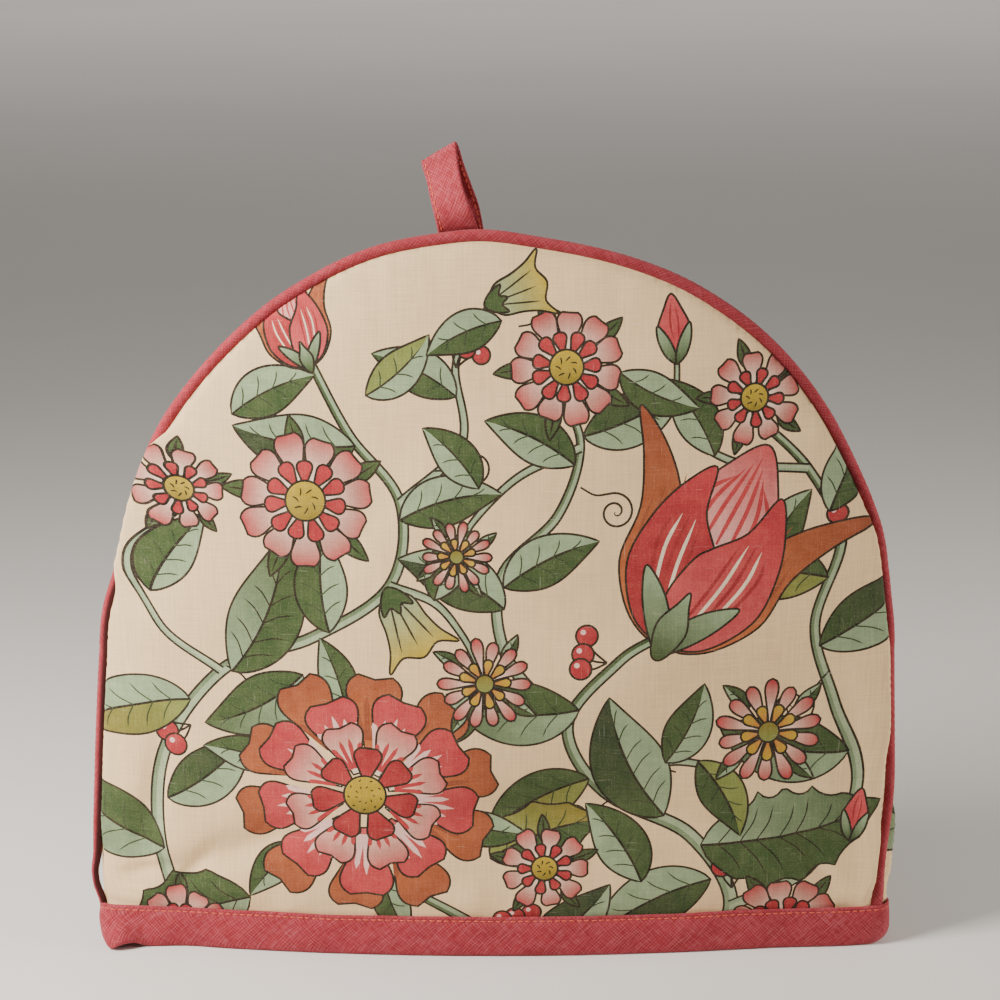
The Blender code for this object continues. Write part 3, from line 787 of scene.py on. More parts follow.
def from_edge(x, z):
    """For each place: the distance to the sewn edge, how far along the edge it is, and which way is out."""
    near, run = np.empty(len(x)), np.empty(len(x))
    out = np.empty((len(x), 2))
    for i in range(0, len(x), 4000):
        part = slice(i, i + 4000)
        gap = (x[part, None] - EDGE[None, :, 0]) ** 2 + (z[part, None] - EDGE[None, :, 1]) ** 2
        k = gap.argmin(axis=1)
        # The foot of the perpendicular lies between two points of the edge.
        k0 = np.clip(k, 1, len(EDGE) - 2)
        best = np.sqrt(gap[np.arange(len(k)), k])
        where = EDGE_RUN[k].copy()
        for a, b in ((k0 - 1, k0), (k0, k0 + 1)):
            ab = EDGE[b] - EDGE[a]
            t = np.clip(
                ((x[part] - EDGE[a, 0]) * ab[:, 0] + (z[part] - EDGE[a, 1]) * ab[:, 1]) / np.sum(ab * ab, axis=1), 0, 1
            )
            px, pz = EDGE[a, 0] + t * ab[:, 0], EDGE[a, 1] + t * ab[:, 1]
            dist = np.hypot(x[part] - px, z[part] - pz)
            closer = dist < best
            best = np.where(closer, dist, best)
            where = np.where(closer, EDGE_RUN[a] + t * (EDGE_RUN[b] - EDGE_RUN[a]), where)
        near[part], run[part] = best, where
        out[part] = EDGE_OUT[k]
    return near, run, out


def seam_shift(ex, ez, d, side):
    """How far the seam has moved across and back near its edge place (ex, ez)."""
    near = np.exp(-((d / 9.0) ** 2))
    come = FOOT_COME * band_pass(ez, *FOOT_RUN) * (ex > 0)
    come = come + (1.0 if side < 0 else 0.0) * ease((26.0 - ez) / 12.0) * (ex > 0)
    sink = SIDE_SINK * band_pass(ez, *SINK_RUN) * (ex < 0)
    drawn_in = (0.9 if side < 0 else -0.4) * band_pass(ez, 16.0, 34.0, 14.0) * (ex < 0)
    return (drawn_in - come) * near, (sink - come) * near


def panel_surface(x, z, side, full, table):
    """Where a point of the flat printed cloth lies on the padded panel. side is -1 for the front."""
    x, z = np.asarray(x, float), np.asarray(z, float)
    d, run, out = from_edge(x, z)
    ex, ez = np.interp(run, EDGE_RUN, EDGE[:, 0]), np.interp(run, EDGE_RUN, EDGE[:, 1])
    # Thickness: the edge rolls over quickly, then the padding fills out slowly.
    roll = ROLL_RISE * np.sqrt(np.clip(1 - (1 - np.clip(d / ROLL_R, 0, 1)) ** 2, 0, 1))
    fill = 1 - np.exp(-d / PAD_REACH)
    above = np.clip(z - BAND_H - 0.2, 0, None)
    lift = 1 - np.exp(-((above / 5.5) ** 1.3))
    pressed = SEAM_THICK + (BAND_PRESS - SEAM_THICK) * (1 - np.exp(-d / 7.5))
    full_pad = SEAM_THICK + roll + (PAD_THICK - SEAM_THICK - ROLL_RISE) * fill
    thick = pressed + (full_pad - pressed) * lift
    # The padding stands out over the seam in places.
    if side < 0:
        over = 0.6 + 6.3 * band_pass(ez, 148.0, 190.0, 13.0) * (ex < 0) + 1.9 * band_pass(ez, 30.0, 134.0, 12.0) * (ex < 0)
        over = over + (2.6 * band_pass(ez, 84.0, 160.0, 24.0) + 1.4 * band_pass(ez, 88.0, 112.0, 16.0)) * (ex > 0)
        over = over + 2.0 * band_pass(ez, 28.0, 40.0, 12.0) * (ex > 0)
        damp = 0.25 + 0.75 * lift
    else:
        over = 1.2 + 9.2 * band_pass(ez, -10.0, 42.0, 34.0) * (ex > 0) + 5.6 * band_pass(ez, 200.0, 208.0, 18.0) * (ex < 0)
        over = over + 2.2 * band_pass(ez, 14.0, 34.0, 14.0) * (ex < 0)
        damp = (0.86 + 0.14 * ease((z - 20.0) / 8.0)) * ease((z - 8.5) / 6.0)
    # Small gathers run in from the seam and up from the band, less where the cloth is stretched over the padding.
    calm = (1 - np.exp(-((d / 4.5) ** 2))) * (1 - 0.85 * ease((over - 1.6) / 3.4) * np.exp(-d / 14.0))
    gather = (0.52 + 0.36 * waver(run / 31.0, 3)) * waver(run / 3.6, 1) * np.exp(-d / 10.0) * calm
    gather += 0.12 * waver(run / 1.9, 5) * np.exp(-d / 6.0) * calm
    hem = 0.80 * waver(x / 4.6 + side, 7) * np.exp(-above / 9.0) * (1 - np.exp(-above / 1.6))
    swell = 0.74 * waver((x * 0.8 + z * 0.6) / 17.0, 2 + side) + 0.64 * waver((z * 0.9 - x * 0.45) / 14.0, 4 - side)
    swell *= ease(d / 25.0) * ease((z - BAND_H) / 19.0)
    bulge = 1.70 * folds(table, x, z, d) + gather * lift + hem * ease(d / 8.0) + swell
    y = 0.5 * FIT + hollow(x, z, full) + thick + bulge
    push = over * (d / 4.0) * np.exp(1 - d / 4.0) * damp
    dx, dy = seam_shift(ex, ez, d, side)
    px = x + out[:, 0] * push + dx
    pz = z + out[:, 1] * push
    py = side * y + dy
    return settle(np.stack([px, py, pz], 1))


def inner_surface(x, z, side, full):
    d, run, out = from_edge(x, z)
    dx, dy = seam_shift(np.interp(run, EDGE_RUN, EDGE[:, 0]), np.interp(run, EDGE_RUN, EDGE[:, 1]), d, side)
    y = 0.5 * FIT + hollow(x, z, full) + 0.22 * (1 + waver(x / 9.0 + side, 3) * waver(z / 11.0, 2)) * ease(d / 20.0)
    return settle(np.stack([x + dx, side * y + dy, z], 1))


def tidy(loop, close=0.05, straight=0.012):
    """The outline without points that add nothing, counter-clockwise."""
    loop = np.asarray(loop, float)
    if area(loop) < 0:
        loop = loop[::-1]
    keep = [loop[0]]
    for p in loop[1:]:
        if np.hypot(*(p - keep[-1])) > close:
            keep.append(p)
    if len(keep) > 3 and np.hypot(*(keep[0] - keep[-1])) <= close:
        keep.pop()
    loop = np.array(keep)
    changed = True
    while changed and len(loop) > 6:
        before, after = np.roll(loop, 1, axis=0), np.roll(loop, -1, axis=0)
        chord = after - before
        size = np.maximum(np.linalg.norm(chord, axis=1), 1e-9)
        off = np.abs(chord[:, 0] * (loop[:, 1] - before[:, 1]) - chord[:, 1] * (loop[:, 0] - before[:, 0])) / size
        drop = (off < straight) & (size < 3.0)
        drop[1:] &= ~drop[:-1]
        drop[0] = False
        changed = bool(drop.any())
        loop = loop[~drop]
    return loop


def within(loop, at):
    """Which of the places lie inside the closed outline, by its winding."""
    p, q = loop, np.roll(loop, -1, axis=0)
    turns = np.zeros(len(at), int)
    for i in range(0, len(at), 20000):
        x, z = at[i : i + 20000, 0, None], at[i : i + 20000, 1, None]
        side = (q[:, 0] - p[:, 0]) * (z - p[:, 1]) - (x - p[:, 0]) * (q[:, 1] - p[:, 1])
        rising = (p[:, 1] <= z) & (q[:, 1] > z) & (side > 0)
        falling = (p[:, 1] > z) & (q[:, 1] <= z) & (side < 0)
        turns[i : i + 20000] = rising.sum(1) - falling.sum(1)
    return turns != 0


def flat_print(domain, shapes_, mirror):
    """Cuts the panel's flat shape into triangles along every drawn edge, and says which shape shows on each."""
    low, high = domain.min(0), domain.max(0)
    points, edges, drawn_ = [], [], []

    def add(loop):
        start, count = len(points), len(loop)
        points.extend(Vector((float(a), float(b))) for a, b in loop)
        edges.extend((start + i, start + (i + 1) % count) for i in range(count))

    add(domain)
    for who, shape in enumerate(shapes_):
        loop = shape[0] * [-1.0, 1.0] if mirror else shape[0]
        if (loop.max(0) < low).any() or (loop.min(0) > high).any():
            continue
        loop = tidy(loop)
        if len(loop) >= 3 and abs(area(loop)) > 0.02:
            add(loop)
            drawn_.append((who, loop))
    step = CLOTH_STEP
    rows = []
    for r, z in enumerate(np.arange(low[1] + step, high[1], step * 0.866)):
        xs = np.arange(low[0] + step + (0.5 * step if r % 2 else 0.0), high[0], step)
        rows.append(np.stack([xs, np.full_like(xs, z)], 1))
    spare = np.concatenate(rows)
    d, _, _ = from_edge(spare[:, 0], spare[:, 1])
    spare = spare[within(domain, spare) & (d > 0.6)]
    points.extend(Vector((float(a), float(b))) for a, b in spare)
    verts, _, tris, _, _, _ = geometry.delaunay_2d_cdt(points, edges, [], 0, 1e-5, False)
    flat = np.array([tuple(v) for v in verts])
    tris = np.array([tuple(t) for t in tris])
    middle = flat[tris].mean(1)
    keep = within(domain, middle)
    tris, middle = tris[keep], middle[keep]
    top = np.full(len(tris), -1)
    for who, loop in reversed(drawn_):
        a, b = loop.min(0), loop.max(0)
        open_ = np.flatnonzero((top < 0) & (middle >= a).all(1) & (middle <= b).all(1))
        top[open_[within(loop, middle[open_])]] = who
    return flat, tris, top


def ink_of(top, corners, shapes_):
    """The printed colour at each corner: flat on the ground, and from one ink to the next across a shape."""
    colour = np.ones((len(top), corners.shape[1], 4))
    colour[..., :3] = linear(INK["ground"])
    order = np.argsort(top, kind="stable")
    found, first = np.unique(top[order], return_index=True)
    for who, a, b in zip(found, first, list(first[1:]) + [len(order)]):
        if who < 0:
            continue
        rows = order[a:b]
        _, ink, ink_end, start, end = shapes_[who]
        span = end - start
        t = np.clip(((corners[rows] - start) @ span) / max(1e-9, float(span @ span)), 0, 1)[..., None]
        colour[rows, :, :3] = linear(INK[ink]) * (1 - t) + linear(INK[ink_end]) * t
    return colour


def panel(name, side, full, table, shapes_, materials):
    edge = outline(EDGE_IN, PANEL_FOOT_Z)
    edge = along(edge, 420)
    foot = np.linspace(edge[-1], edge[0], 120)[1:-1]
    domain = np.concatenate([edge, foot])[::-1]
    if area(domain) < 0:
        domain = domain[::-1]
    mirror = side > 0
    flat, tris, top = flat_print(domain, shapes_, mirror)
    used = np.unique(tris.ravel())
    renumber = -np.ones(len(flat), int)
    renumber[used] = np.arange(len(used))
    flat = flat[used]
    tris = renumber[tris]
    outer = panel_surface(flat[:, 0], flat[:, 1], side, full, table)
    h = 0.12
    du = panel_surface(flat[:, 0] + h, flat[:, 1], side, full, table) - panel_surface(flat[:, 0] - h, flat[:, 1], side, full, table)
    dv = panel_surface(flat[:, 0], flat[:, 1] + h, side, full, table) - panel_surface(flat[:, 0], flat[:, 1] - h, side, full, table)
    normal = unit(np.cross(du, dv)) * (1 if side < 0 else -1)
    # The rim: edges that belong to one triangle, in order.
    count = {}
    for a, b, c in tris:
        for e in ((a, b), (b, c), (c, a)):
            count[e] = count.get(e, 0) + 1
    follow = {a: b for a, b in count if (b, a) not in count}
    start = next(iter(follow))
    rim = [start]
    while follow[rim[-1]] != start and len(rim) <= len(follow):
        rim.append(follow[rim[-1]])
    rim = np.array(rim)
    # The inner face, on the same rim.
    border = flat[rim]
    low, high = border.min(0), border.max(0)
    gx, gz = np.meshgrid(np.arange(low[0] + 5, high[0], 5.5), np.arange(low[1] + 5, high[1], 5.5))
    gx, gz = gx.ravel(), gz.ravel()
    d, _, _ = from_edge(gx, gz)
    keep = (np.abs(gx - drift(gz)) < half_width(gz) - EDGE_IN - 2.0) & (gz < TOP_Z) & (d > 2.5)
    pts = [Vector((float(a), float(b))) for a, b in border] + [Vector((float(a), float(b))) for a, b in zip(gx[keep], gz[keep])]
    verts, _, inner_tris, back_ids, _, source = geometry.delaunay_2d_cdt(pts, [], [list(range(len(border)))], 1, 1e-6)
    inner_flat = np.array([tuple(v) for v in verts])
    inner = inner_surface(inner_flat[:, 0], inner_flat[:, 1], side, full)
    match = {}
    for new, olds in enumerate(back_ids):
        for old in olds:
            if old < len(border):
                match[old] = new
    n = len(outer)
    faces = [tuple(t) if side < 0 else tuple(t[::-1]) for t in tris]
    for t in inner_tris:
        t = [n + i for i in t]
        faces.append(tuple(t[::-1]) if side < 0 else tuple(t))
    for i in range(len(rim)):
        j = (i + 1) % len(rim)
        quad = (rim[j], rim[i], n + match[i], n + match[j])
        faces.append(quad if side < 0 else quad[::-1])
    points = np.concatenate([outer, inner])
    flat_all = np.concatenate([flat, inner_flat])
    inner_normal = np.zeros_like(inner)
    inner_normal[:, 1] = -side
    corners = flat[tris] * ([-1.0, 1.0] if mirror else [1.0, 1.0])
    ink = ink_of(top, corners, shapes_)
    if side > 0:
        ink = ink[:, ::-1]
    plain = np.concatenate([linear(INK["ground"]) * 0.96, [1.0]])
    rest = sum(len(f) for f in faces[len(tris) :])
    colour = np.concatenate([ink.reshape(-1, 4), np.tile(plain, (rest, 1))])
    low, high = flat_all.min(0), flat_all.max(0)
    span = (high - low).max() * 1.02
    uv = (flat_all - low) / span * [0.985, 0.985] + 0.005
    slots = [0] * len(tris) + [1] * (len(faces) - len(tris))
    place = np.column_stack([flat_all[:, 0], flat_all[:, 1], np.zeros(len(flat_all))])
    obj = make(name, points, faces, materials, None, {"flat": place}, uv, colour, slots)
    # Smooth normals on the printed side come from the surface itself.
    mesh = obj.data
    custom = np.empty(len(mesh.loops) * 3, np.float32)
    mesh.corner_normals.foreach_get("vector", custom)
    custom = custom.reshape(-1, 3)
    index = np.empty(len(mesh.loops), np.int32)
    mesh.loops.foreach_get("vertex_index", index)
    printed = 3 * len(tris)
    custom[:printed] = normal[index[:printed]]
    mesh.normals_split_custom_set(custom.tolist())
    return obj, len(tris)


# ---------------------------------------------------------------------------
# The hem band
# ---------------------------------------------------------------------------

SIDE_SPOTS, TURN_SPOTS = 261, 15


def ring(half_x, end_r, inset):
    """A level closed line round the hem: two long sides that follow the hollow, and a round turn at each end."""
    centre = float(drift(8.0))
    reach = half_x - end_r
    t = np.linspace(1.0, -1.0, SIDE_SPOTS)
    mid = reach * (0.75 * t + 0.25 * np.sin(0.5 * math.pi * t))
    turn = np.linspace(0.0, math.pi, TURN_SPOTS + 2)[1:-1]
    side = hollow(centre + mid, np.full_like(mid, 8.0), HOLLOW_FULL) + inset
    end = side[0]
    front = np.stack([centre + mid, -side], 1)
    left = np.stack([centre - reach - end_r * np.sin(turn), -end * np.cos(turn)], 1)
    back = np.stack([centre - mid, side[::-1]], 1)
    right = np.stack([centre + reach + end_r * np.sin(turn), end * np.cos(turn)], 1)
    return np.concatenate([front, left, back, right])


BAND_SECTION = (  # outwards from the panels' inner face, height: up the outside and over the top, then back down
    (5.95, 9.0),
    (5.95, 15.0),
    (6.10, 15.75),
    (6.45, 16.05),
    (6.85, 15.95),
    (7.10, 15.50),
    (7.08, 14.95),
    (6.86, 14.40),
    (7.06, 13.85),
    (7.30, 12.60),
    (7.46, 10.80),
    (7.52, 9.00),
    (7.54, 7.20),
    (7.52, 5.40),
    (7.44, 3.80),
    (7.28, 2.40),
    (7.05, 1.30),
    (6.70, 0.50),
    (6.10, 0.05),
    (5.30, 0.00),
    (-0.70, 0.00),
    (-1.10, 0.25),
    (-1.38, 0.90),
    (-1.50, 2.20),
    (-1.54, 5.00),
    (-1.54, 8.00),
    (-1.52, 11.00),
    (-1.46, 12.60),
    (-1.30, 13.25),
    (-1.46, 13.75),
    (-1.36, 14.15),
    (-1.05, 14.38),
    (-0.70, 14.25),
    (-0.50, 13.60),
    (-0.50, 4.00),
    (-0.50, 1.70),
    (0.20, 1.05),
    (5.10, 1.05),
    (5.80, 1.70),
)
GROOVE_ROW, INNER_GROOVE_ROW = 7, 28


def band_line(o):
    if o > 2.5:
        return ring(float(half_width(0.0)) - (BAND_OUT - o), max(o, 0.6), o)
    return ring(132.0 + (o + 0.5), 2.0 + (o + 0.5), o)


def band_shape(points, run, row_o, row_z):
    """The hand-sewn unevenness of the band, then the cosy's own stand."""
    x, y, z = points.T.copy()
    away = unit(np.stack([x * 0.0, y], 1))[:, 1]
    ripple = 0.20 * waver(run / 7.5, 3) + 0.13 * waver(run / 2.6, 6) * np.exp(-(((row_z - 14.6) / 2.4) ** 2))
    ripple += 0.18 * waver((run + 0.9 * row_z) / 4.4, 9) * band_pass(row_z, 3.0, 12.0, 3.0)
    ripple *= 1.0 if row_o > 2.5 else 0.35
    if row_z > 0.02:
        y = y + away * ripple * min(1.0, row_z / 3.0)
    z = z + 0.16 * waver(run / 9.0, 12) * ease((row_z - 6.0) / 9.0)
    # The lower left corner is drawn in, and the lower right one is round.
    t = np.clip(row_z / BAND_H, 0.0, 1.0)
    x = x + (0.6 + 3.2 * (1 - t) ** 2.8) * ease((-x - 124.0) / 24.0)
    x = x - 4.6 * (1 - math.sqrt(1 - (1 - min(row_z / 6.0, 1.0)) ** 2)) * ease((x - 128.0) / 20.0)
    # The tip of that corner is turned out, and the turn of the band beside the cord's foot is a little lower.
    tip = ease((-x - 130.0) / 14.0) * (1 - t) ** 2 * ease((4.0 - y) / 8.0)
    z = z - 1.5 * ease((-x - 142.0) / 6.0) * ease((y + 6.0) / 5.0) * ease((row_z - 8.0) / 7.0)
    y = y - 5.6 * tip
    return settle(np.stack([x, y, z], 1))


def hem_band(materials):
    rows, place = [], []
    length = 0.0
    last = None
    for o, z in BAND_SECTION:
        if last is not None:
            length += math.hypot(o - last[0], z - last[1])
        last = (o, z)
        line = band_line(o)
        step = np.linalg.norm(np.roll(line, -1, axis=0) - line, axis=1)
        run = np.concatenate([[0.0], np.cumsum(step)[:-1]])
        run = run * 616.0 / step.sum()
        raw = np.column_stack([line, np.full(len(line), z)])
        rows.append(band_shape(raw, run, o, z))
        place.append(np.column_stack([run, np.full(len(run), length), np.zeros(len(run))]))
    cols = len(rows[0])
    faces = lathe_faces(len(rows), cols, True, True)
    points, place = np.concatenate(rows), np.concatenate(place)
    # One column of faces joins the end of the run to its start, so that strip repeats the last of the weave.
    uv = np.column_stack([place[:, 0] / 640.0 + 0.01, place[:, 1] / 640.0 + 0.01])
    obj = make("hem_band_cloth", points, faces, materials, None, {"flat": place}, uv)
    turn_out(obj)
    return obj, rows


def turn_out(obj):
    """Makes every face of a closed mesh look outwards."""
    mesh = obj.data
    mesh.calc_loop_triangles()
    co = np.empty(len(mesh.vertices) * 3)
    mesh.vertices.foreach_get("co", co)
    tri = np.empty(len(mesh.loop_triangles) * 3, np.int32)
    mesh.loop_triangles.foreach_get("vertices", tri)
    corner = co.reshape(-1, 3)[tri.reshape(-1, 3)]
    if np.einsum("ij,ij->i", corner[:, 0], np.cross(corner[:, 1], corner[:, 2])).sum() < 0:
        mesh.flip_normals()


# ---------------------------------------------------------------------------
# The covered cord in the seam
# ---------------------------------------------------------------------------


def piping(materials):
    line = along(outline(CORD_R, 11.5), 860)
    count = len(line)
    run = np.concatenate([[0.0], np.cumsum(np.linalg.norm(np.diff(line, axis=0), axis=1))])
    z = line[:, 1]
    left, right = line[:, 0] < 0, line[:, 0] > 0
    come = FOOT_COME * band_pass(z, *FOOT_RUN) * right
    # On the left the seam lies deep behind the front's padding; its foot is thin there and runs in behind the band.
    back_in = SIDE_SINK * band_pass(z, *SINK_RUN) * left
    thin = ease((49.0 - z) / 27.0) * left
    tucked = (1.6 * ease((21.5 - z) / 8.0) - 0.8 * np.exp(-(((z - 25.0) / 5.0) ** 2))) * left + 0.9 * ease((24.0 - z) / 10.0) * right
    radius = CORD_R - 1.15 * thin + 0.7 * ease((27.0 - z) / 12.0) * right
    # Painted shade: where the padding stands over the cord, the side of it that faces the seam is painted dark, as if
    # in shadow; a little on the right too, most on the left.
    deep = np.where(left, 0.84 * ease((196.0 - z) / 40.0), 0.04) + 0.26
    centre = np.column_stack(
        [
            line[:, 0] - come + tucked * left - tucked * right - 1.15 * thin,
            back_in - come + 0.25 * waver(run / 26.0, 4),
            z,
        ]
    )
    forward = unit(np.gradient(centre, axis=0))
    out = unit(np.cross(forward, np.array([0.0, 1.0, 0.0])))
    back = np.cross(out, forward)
    sides = 18
    angle = np.linspace(0.0, 2 * math.pi, sides, endpoint=False)
    points, place = [], []
    for k in range(count):
        wind = run[k] / 5.2
        r = radius[k] * (1 + 0.025 * float(waver(run[k] / 13.0, 8)))
        puckers = 0.075 * np.sin(2 * math.pi * (run[k] / 2.7) + angle * 2 + 1.5 * np.sin(wind)) * (
            0.6 + 0.4 * float(waver(run[k] / 17.0, 2))
        )
        rr = r + puckers
        # A little flat where the two panels grip it.
        flat = 1 - 0.05 * np.cos(angle) ** 2
        ring_points = (
            centre[k]
            + (np.cos(angle) * rr)[:, None] * out[k]
            + (np.sin(angle) * rr * flat)[:, None] * back[k]
        )
        points.append(ring_points)
        # The share of painted seam shade at each point round the cord.
        painted_seam_shade = ease((0.80 - np.cos(angle)) / 0.85) * deep[k]
        place.append(np.column_stack([np.full(sides, run[k]), angle * CORD_R, painted_seam_shade]))
    points, place = settle(np.concatenate(points)), np.concatenate(place)
    faces = lathe_faces(count, sides, False, True)
    for first in (0, (count - 1) * sides):
        points = np.concatenate([points, points[first : first + sides].mean(0)[None]])
        place = np.concatenate([place, place[first : first + 1]])
        tip = len(points) - 1
        for c in range(sides):
            a, b = first + c, first + (c + 1) % sides
            faces.append((a, tip, b) if first == 0 else (a, b, tip))
    # The run is folded into a few rows, so that the whole cord fits in the square map.
    row = np.floor(place[:, 0] / 120.0)
    uv = np.column_stack([(place[:, 0] - row * 120.0) / 130.0 + 0.02, (row * 18.0 + place[:, 1]) / 130.0 + 0.01])
    obj = make("seam_cord", points, faces, materials, None, {"flat": place}, None)
    split_uv(obj, place, sides)
    turn_out(obj)
    return obj


def split_uv(obj, place, sides):
    """A map for the long cord: its length in rows of 120 mm, each row 16.5 mm high."""
    mesh = obj.data
    layer = mesh.uv_layers.new(name="OFBake")
    start = np.empty(len(mesh.polygons), np.int32)
    total = np.empty(len(mesh.polygons), np.int32)
    mesh.polygons.foreach_get("loop_start", start)
    mesh.polygons.foreach_get("loop_total", total)
    index = np.empty(len(mesh.loops), np.int32)
    mesh.loops.foreach_get("vertex_index", index)
    uv = np.zeros((len(index), 2))
    around = 2 * math.pi * CORD_R
    for s, n in zip(start, total):
        p = place[index[s : s + n]].copy()
        if p[:, 1].max() - p[:, 1].min() > 0.5 * around:
            p[:, 1] = np.where(p[:, 1] < 0.5 * around, p[:, 1] + around, p[:, 1])
        row = math.floor(p[:, 0].min() / 120.0 + 1e-6)
        uv[s : s + n, 0] = (p[:, 0] - row * 120.0) / 128.0 + 0.02
        uv[s : s + n, 1] = (row * 18.5 + p[:, 1]) / 128.0 + 0.01
    layer.data.foreach_set("uv", uv.astype(np.float32).ravel())


# ---------------------------------------------------------------------------
# The hanging loop
# ---------------------------------------------------------------------------


def loop_path():
    heights = np.linspace(-2.0, LOOP_H - 1.7, 74)
    gap = through(LOOP_SIDE, np.clip(heights, 0.0, 30.0))
    # The fold at the top is pressed flat.
    gap = gap * (1 - 0.30 * ease((heights - 20.0) / 9.0))
    turn = np.linspace(0.0, math.pi, 17)[1:-1]
    crown = np.stack([-gap[-1] * np.cos(turn), heights[-1] + (LOOP_H - heights[-1]) * np.sin(turn)], 1)
    front = np.stack([-gap, heights], 1)
    back = np.stack([gap[::-1], heights[::-1]], 1)
    return np.concatenate([front, crown, back])


def loop_point(off, h, w):
    w01 = w / (0.5 * LOOP_W)
    up = h * (1 + LOOP_SKEW * w01 * ease(h / 12.0))
    twist = np.radians(through(LOOP_TURN, h))
    w = w * (1 - LOOP_TAPER * ease(h / 8.0) * ease((29.0 - h) / 7.0))
    bent = LOOP_BEND * ease((h - 3.0) / 18.0)
    aside = through(LOOP_SHIFT, h) * np.clip(0.5 * (off + 1.0), 0.0, 1.0)
    return np.stack(
        [
            LOOP_X + LOOP_LEAN * up - bent + w * np.cos(twist) + aside,
            LOOP_Y - 0.05 * up - w * np.sin(twist) + off,
            LOOP_FOOT_Z + up,
        ],
        -1,
    )


LOOP_SECTION = (  # across, share of the half thickness: out along one face and back along the other
    (-7.35, 0.96),
    (-6.75, 0.86),
    (-6.15, 0.62),
    (-5.55, 0.88),
    (-4.6, 1.0),
    (-3.0, 1.04),
    (-1.5, 1.06),
    (0.0, 1.05),
    (1.5, 1.06),
    (3.0, 1.04),
    (4.6, 1.02),
    (5.8, 1.0),
    (6.8, 0.98),
    (7.45, 0.9),
    (7.80, 0.62),
    (7.96, 0.2),
    (7.96, -0.2),
    (7.80, -0.62),
    (7.45, -0.9),
    (6.8, -0.98),
    (5.8, -1.0),
    (4.6, -1.02),
    (3.0, -1.04),
    (1.5, -1.06),
    (0.0, -1.05),
    (-1.5, -1.06),
    (-3.0, -1.04),
    (-4.6, -1.0),
    (-5.55, -0.88),
    (-6.15, -0.62),
    (-6.75, -0.86),
    (-7.35, -0.96),
    (-7.72, -0.7),
    (-7.93, -0.25),
    (-7.93, 0.25),
    (-7.72, 0.7),
)


def hang_loop(materials):
    path = loop_path()
    run = np.concatenate([[0.0], np.cumsum(np.linalg.norm(np.diff(path, axis=0), axis=1))])
    off, h = path[:, :1], path[:, 1:]
    w = np.array([s[0] for s in LOOP_SECTION])[None, :] * (LOOP_W / 16.0)
    t = np.array([s[1] for s in LOOP_SECTION])[None, :]
    w = w + 0.10 * waver(run / 4.0, 3)[:, None] * np.sign(w) * (np.abs(w) > 7)
    mid = loop_point(off + 0 * w, h + 0 * w, w)
    beside = loop_point(off + 0 * w, h + 0 * w, w + 0.2) - loop_point(off + 0 * w, h + 0 * w, w - 0.2)
    onward = np.gradient(mid, axis=0)
    normal = unit(np.cross(beside, onward))
    if normal[10, 5, 1] > 0:
        normal = -normal
    wave = 0.10 * waver((run[:, None] + 0.4 * w) / 5.0, 5)
    grid = mid + normal * (0.5 * LOOP_CLOTH * t + wave)[..., None]
    rows, cols = grid.shape[:2]
    faces = lathe_faces(rows, cols, False, True)
    points = grid.reshape(-1, 3)
    place = np.stack(
        [np.broadcast_to(run[:, None], (rows, cols)), w * np.sign(t + 1e-9) + 0 * run[:, None], 0 * w * run[:, None]], -1
    ).reshape(-1, 3)
    for first in (0, (rows - 1) * cols):
        points = np.concatenate([points, points[first : first + cols].mean(0)[None]])
        place = np.concatenate([place, [[place[first, 0], 0.0, 0.0]]])
        tip = len(points) - 1
        for c in range(cols):
            a, b = first + c, first + (c + 1) % cols
            faces.append((a, tip, b) if first == 0 else (a, b, tip))
    sheet_uv = np.column_stack([place[:, 0] / 70.0 + 0.02, 0.5 + place[:, 1] / 70.0])
    face_of = np.concatenate([np.broadcast_to(np.sign(t), (rows, cols)).ravel(), [0.0, 0.0]])
    sheet_uv[:, 1] += 0.16 * face_of
    obj = make("hang_loop_strap", points, faces, materials, None, {"flat": place}, sheet_uv)
    turn_out(obj)
    groove = [i for i, s in enumerate(LOOP_SECTION) if s == (-6.15, 0.62)][0]
    inner_groove = [i for i, s in enumerate(LOOP_SECTION) if s == (6.8, -0.98)][0]
    return obj, (grid[:, groove], normal[:, groove]), (grid[:, inner_groove], -normal[:, inner_groove])


# ---------------------------------------------------------------------------
# The stitching
# ---------------------------------------------------------------------------


def stitches(line, out, pitch, length, radius, closed, sink=0.10):
    """Thread along a line: each stitch is a short round bar whose ends go down into the cloth."""
    if closed:
        line, out = np.concatenate([line, line[:1]]), np.concatenate([out, out[:1]])
    run = np.concatenate([[0.0], np.cumsum(np.linalg.norm(np.diff(line, axis=0), axis=1))])
    count = int(run[-1] / pitch)
    made = []
    for k in range(count):
        uneven = 0.10 * math.sin(2.3 * k) * pitch * 0.3
        middle = (k + 0.5) * run[-1] / count + uneven
        size = length * (1 + 0.08 * math.sin(1.7 * k + 0.4))
        spots = middle + size * np.array([-0.5, -0.44, -0.3, 0.0, 0.3, 0.44, 0.5])
        spots = np.clip(spots, 0, run[-1])
        centre = np.stack([np.interp(spots, run, line[:, i]) for i in range(3)], 1)
        up = unit(np.stack([np.interp(spots, run, out[:, i]) for i in range(3)], 1))
        rise = np.array([-0.34, -0.16, 0.06, 0.16, 0.06, -0.16, -0.34]) - sink + 0.10
        girth = np.array([0.0, 0.7, 0.95, 1.0, 0.95, 0.7, 0.0]) * radius
        ahead = unit(centre[-1] - centre[0])
        slant = 0.14 * math.sin(0.9 * k)
        across = unit(np.cross(up, ahead))
        centre = centre + up * rise[:, None] + across * (np.linspace(-0.5, 0.5, 7) * slant)[:, None]
        made.append((centre, across, up, girth))
    return made


